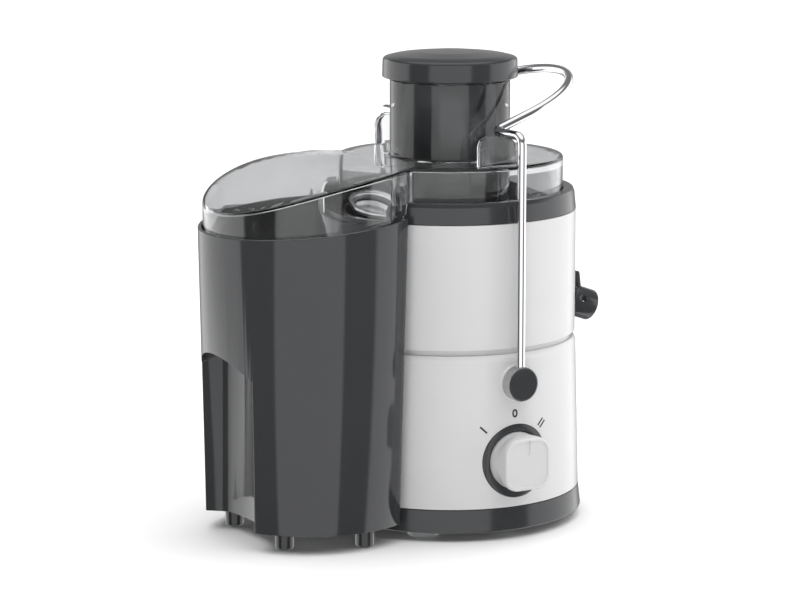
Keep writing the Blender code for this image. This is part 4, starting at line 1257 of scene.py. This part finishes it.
def build_spout():
    radius = 10.0
    along = at(z=-SPOUT_DROP, facing="+X", within=SPOUT_FRAME)
    neck = turned(
        "spout_neck_tube",
        [(4.7, -24.5, 0.3), (4.7, 2.0, 0.5), (3.4, 2.0, 0.4), (3.4, -24.5, 0.3)],
        along,
        MEDIUM,
        ring=True,
    )
    lug = rod("neck_lug", 2.5, -5.8, 5.8, at(facing="+Y", within=SPOUT_FRAME), SMALL)
    carve(neck, [lug], "UNION")
    carve(neck, [rod("neck_bore", 3.4, -50, 50, along, MEDIUM)])
    dress(neck, DARK_ABS, "body", "dark_abs", "spout_neck")
    nozzle = turned(
        "nozzle_moulding",
        [(radius, -10.0, 0), (radius, 11.8, 0.7), (8.4, 11.8, 0.5), (8.4, -10.0, 0)],
        along,
        MEDIUM,
        ring=True,
    )
    rise = radius - SPOUT_DROP
    slant = [(-3.3, rise + 1.2), (-9.8, -13.5), (-20.0, -13.5), (-20.0, rise + 1.2)]
    holes = [
        rod(f"pin_hole_{n}", 1.8, 4.0, 20.0, at(facing=facing, within=SPOUT_FRAME), SMALL)
        for n, (_, _, facing) in enumerate(SIDES)
    ]
    carve(nozzle, [prism("nozzle_back", slant, -20, 20, "Y", SPOUT_FRAME), *holes])
    tab = [
        (-3.4, rise - 1.3, 0),
        (-0.4, rise - 1.3, 0),
        (-2.0, rise + 1.0, 2.0),
        (-5.2, rise + 7.4, 1.0),
        (-6.2, rise + 8.5, 0.8),
        (-8.1, rise + 8.1, 0.8),
        (-8.8, rise + 6.6, 0.8),
        (-6.6, rise + 2.0, 2.0),
        (-3.6, rise, 1.0),
    ]
    carve(nozzle, [prism("thumb_tab", rounded(tab, True), -4, 4, "Y", SPOUT_FRAME)], "UNION")
    soften(nozzle, 0.3, 50, 2)
    dress(nozzle, DARK_GLOSS_ABS, "nozzle", "dark_abs", "drip_spout")
    outer = math.sqrt(radius**2 - SPOUT_DROP**2)
    for side, _, facing in SIDES:
        pin = turned(
            f"spout_pivot_{side}",
            [
                (0, outer - 0.6, 0),
                (0.8, outer - 0.5, 0.3),
                (1.5, outer - 0.1, 0.3),
                (1.5, 4.3, 0.2),
                (0, 4.3, 0),
            ],
            at(facing=facing, within=SPOUT_FRAME),
            SMALL,
        )
        dress(pin, BLACKENED_STEEL, "body", "steel", f"spout_pin_{side}")


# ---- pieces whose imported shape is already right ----

CARRIED_OVER = {
    "bottom_plate": DARK_ABS,
    "rotary_switch": DARK_ABS,
    "safety_switch": DARK_ABS,
    "drive_coupling": DARK_ABS,
    "cooling_fan": WHITE_ABS,
    "sieve_base": WHITE_ABS,
    "shaft_seal": BLACK_RUBBER,
    "motor_stator": TURNED_STEEL,
    "bearing_lower": STAINLESS,
    "bearing_upper": STAINLESS,
    "lower_bracket": TURNED_STEEL,
    "upper_bracket": TURNED_STEEL,
    "motor_shaft": TURNED_STEEL,
    "pivot_pin_near": TURNED_STEEL,
    "pivot_pin_far": TURNED_STEEL,
    "knob_shaft": TURNED_STEEL,
    "grater_disc": STAINLESS,
    "grater_nut": STAINLESS,
    "motor_armature": WOUND_COPPER,
    "commutator": WOUND_COPPER,
    "brush_left": TUMBLED_BRASS,
    "brush_right": TUMBLED_BRASS,
}


def dress_carried_over():
    for node, skin in CARRIED_OVER.items():
        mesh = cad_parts[node].data
        mesh.materials.clear()
        mesh.materials.append(skin)


# ---- studio ----


def build_studio():
    floor_mesh = bpy.data.meshes.new("studio_floor")
    reach = 9.0
    floor_mesh.from_pydata(
        [(-reach, -reach, 0), (reach, -reach, 0), (reach, reach, 0), (-reach, reach, 0)],
        [],
        [(0, 1, 2, 3)],
    )
    floor = placed("studio_floor", floor_mesh)
    floor.location.z = -0.0005
    # matt white board: even and shadow-soft
    board = moulded(
        "matt_white_board", "#F4F4F4", "#F2F2F2", 0.9, {"Specular IOR Level": 0.1}, mottle=400.0
    )
    floor_mesh.materials.append(board)
    floor.visible_glossy = False

    scene = bpy.context.scene
    scene.view_settings.view_transform = "Standard"
    world = bpy.data.worlds.new("soft_studio")
    scene.world = world
    world.use_nodes = True
    tree = world.node_tree
    sky = tree.nodes["Background"]
    # a ring of soft boxes: a broad one in front, dim gaps beside it, and pale side walls
    front = math.radians(-120.2)
    ray = add(tree, "ShaderNodeTexCoord").outputs["Generated"]
    turned_ray = add(
        tree, "ShaderNodeMapping", {"Vector": ray, "Rotation": (0, 0, -front)}, vector_type="VECTOR"
    )
    axes = add(tree, "ShaderNodeSeparateXYZ", {"Vector": turned_ray.outputs["Vector"]})
    bearing = add(
        tree, "ShaderNodeMath", {0: axes.outputs["Y"], 1: axes.outputs["X"]}, operation="ARCTAN2"
    )
    share = add(
        tree,
        "ShaderNodeMapRange",
        {"Value": bearing.outputs[0], "From Min": -math.pi, "From Max": math.pi},
    )
    walls = add(tree, "ShaderNodeValToRGB", {"Fac": share.outputs["Result"]})
    degrees = (-180, -160, -145, -76, -72, -37, -35, 35, 37, 70, 74, 145, 160, 180)
    levels = (0.18, 0.18, 0.85, 0.8, 0.07, 0.07, 0.65, 0.65, 0.07, 0.07, 0.7, 0.85, 0.18, 0.18)
    stops = walls.color_ramp.elements
    while len(stops) < len(levels):
        stops.new(0.5)
    for stop, bearing_of_stop in zip(stops, degrees):
        stop.position = (bearing_of_stop + 180) / 360
    for stop, level in zip(stops, levels):
        stop.color = (level, level, level, 1)
    tone = walls.outputs["Color"]
    # dim over the soft boxes, then a brighter ceiling
    for start, end, level in ((0.3, 0.42, 0.1), (0.7, 0.8, 0.6)):
        height = add(
            tree,
            "ShaderNodeMapRange",
            {"Value": axes.outputs["Z"], "From Min": start, "From Max": end},
        )
        layer = add(
            tree,
            "ShaderNodeMix",
            {0: height.outputs["Result"], 6: tone, 7: (level, level, level, 1)},
            data_type="RGBA",
        )
        tone = layer.outputs[2]
    tree.links.new(tone, sky.inputs["Color"])
    sky.inputs["Strength"].default_value = 2.0

    # an even wash from overhead, and a softbox on the right; neither shows in reflections
    wash = bpy.data.lights.new("overhead_wash", "SUN")
    wash.energy = 2.2
    wash.angle = math.radians(100)
    softbox = bpy.data.lights.new("right_softbox", "AREA")
    softbox.shape = "SQUARE"
    softbox.size = 1.0
    softbox.energy = 4.0
    for light, spot in ((wash, (0.3, -0.1, 2.2)), (softbox, (1.5, -0.9, 0.9))):
        lamp = placed(light.name, light)
        lamp.visible_glossy = False
        lamp.location = spot
        aim = Vector((0, 0, 0.15)) - Vector(spot)
        lamp.rotation_euler = aim.to_track_quat("-Z", "Y").to_euler()


def build_camera():
    data = bpy.data.cameras.new("view")
    data.lens = 140.39
    data.sensor_width = 36.0
    data.clip_start = 0.05
    camera = placed("view", data)
    spindle = Vector((SPINDLE_X / 1000, SPINDLE_Y / 1000, 0))
    camera.location = spindle + Vector((-0.99344, -1.65860, 0.4897))
    target = spindle + Vector((-0.02689, 0.01553, 0.1354))
    camera.rotation_euler = (target - camera.location).to_track_quat("-Z", "Y").to_euler()
    bpy.context.scene.camera = camera


build_camera()
build_studio()
dress_carried_over()
build_base()
build_housing()
build_bowl()
build_sieve()
build_container()
build_lid()
build_pusher()
build_bail()
build_knob()
build_marks()
build_spout()
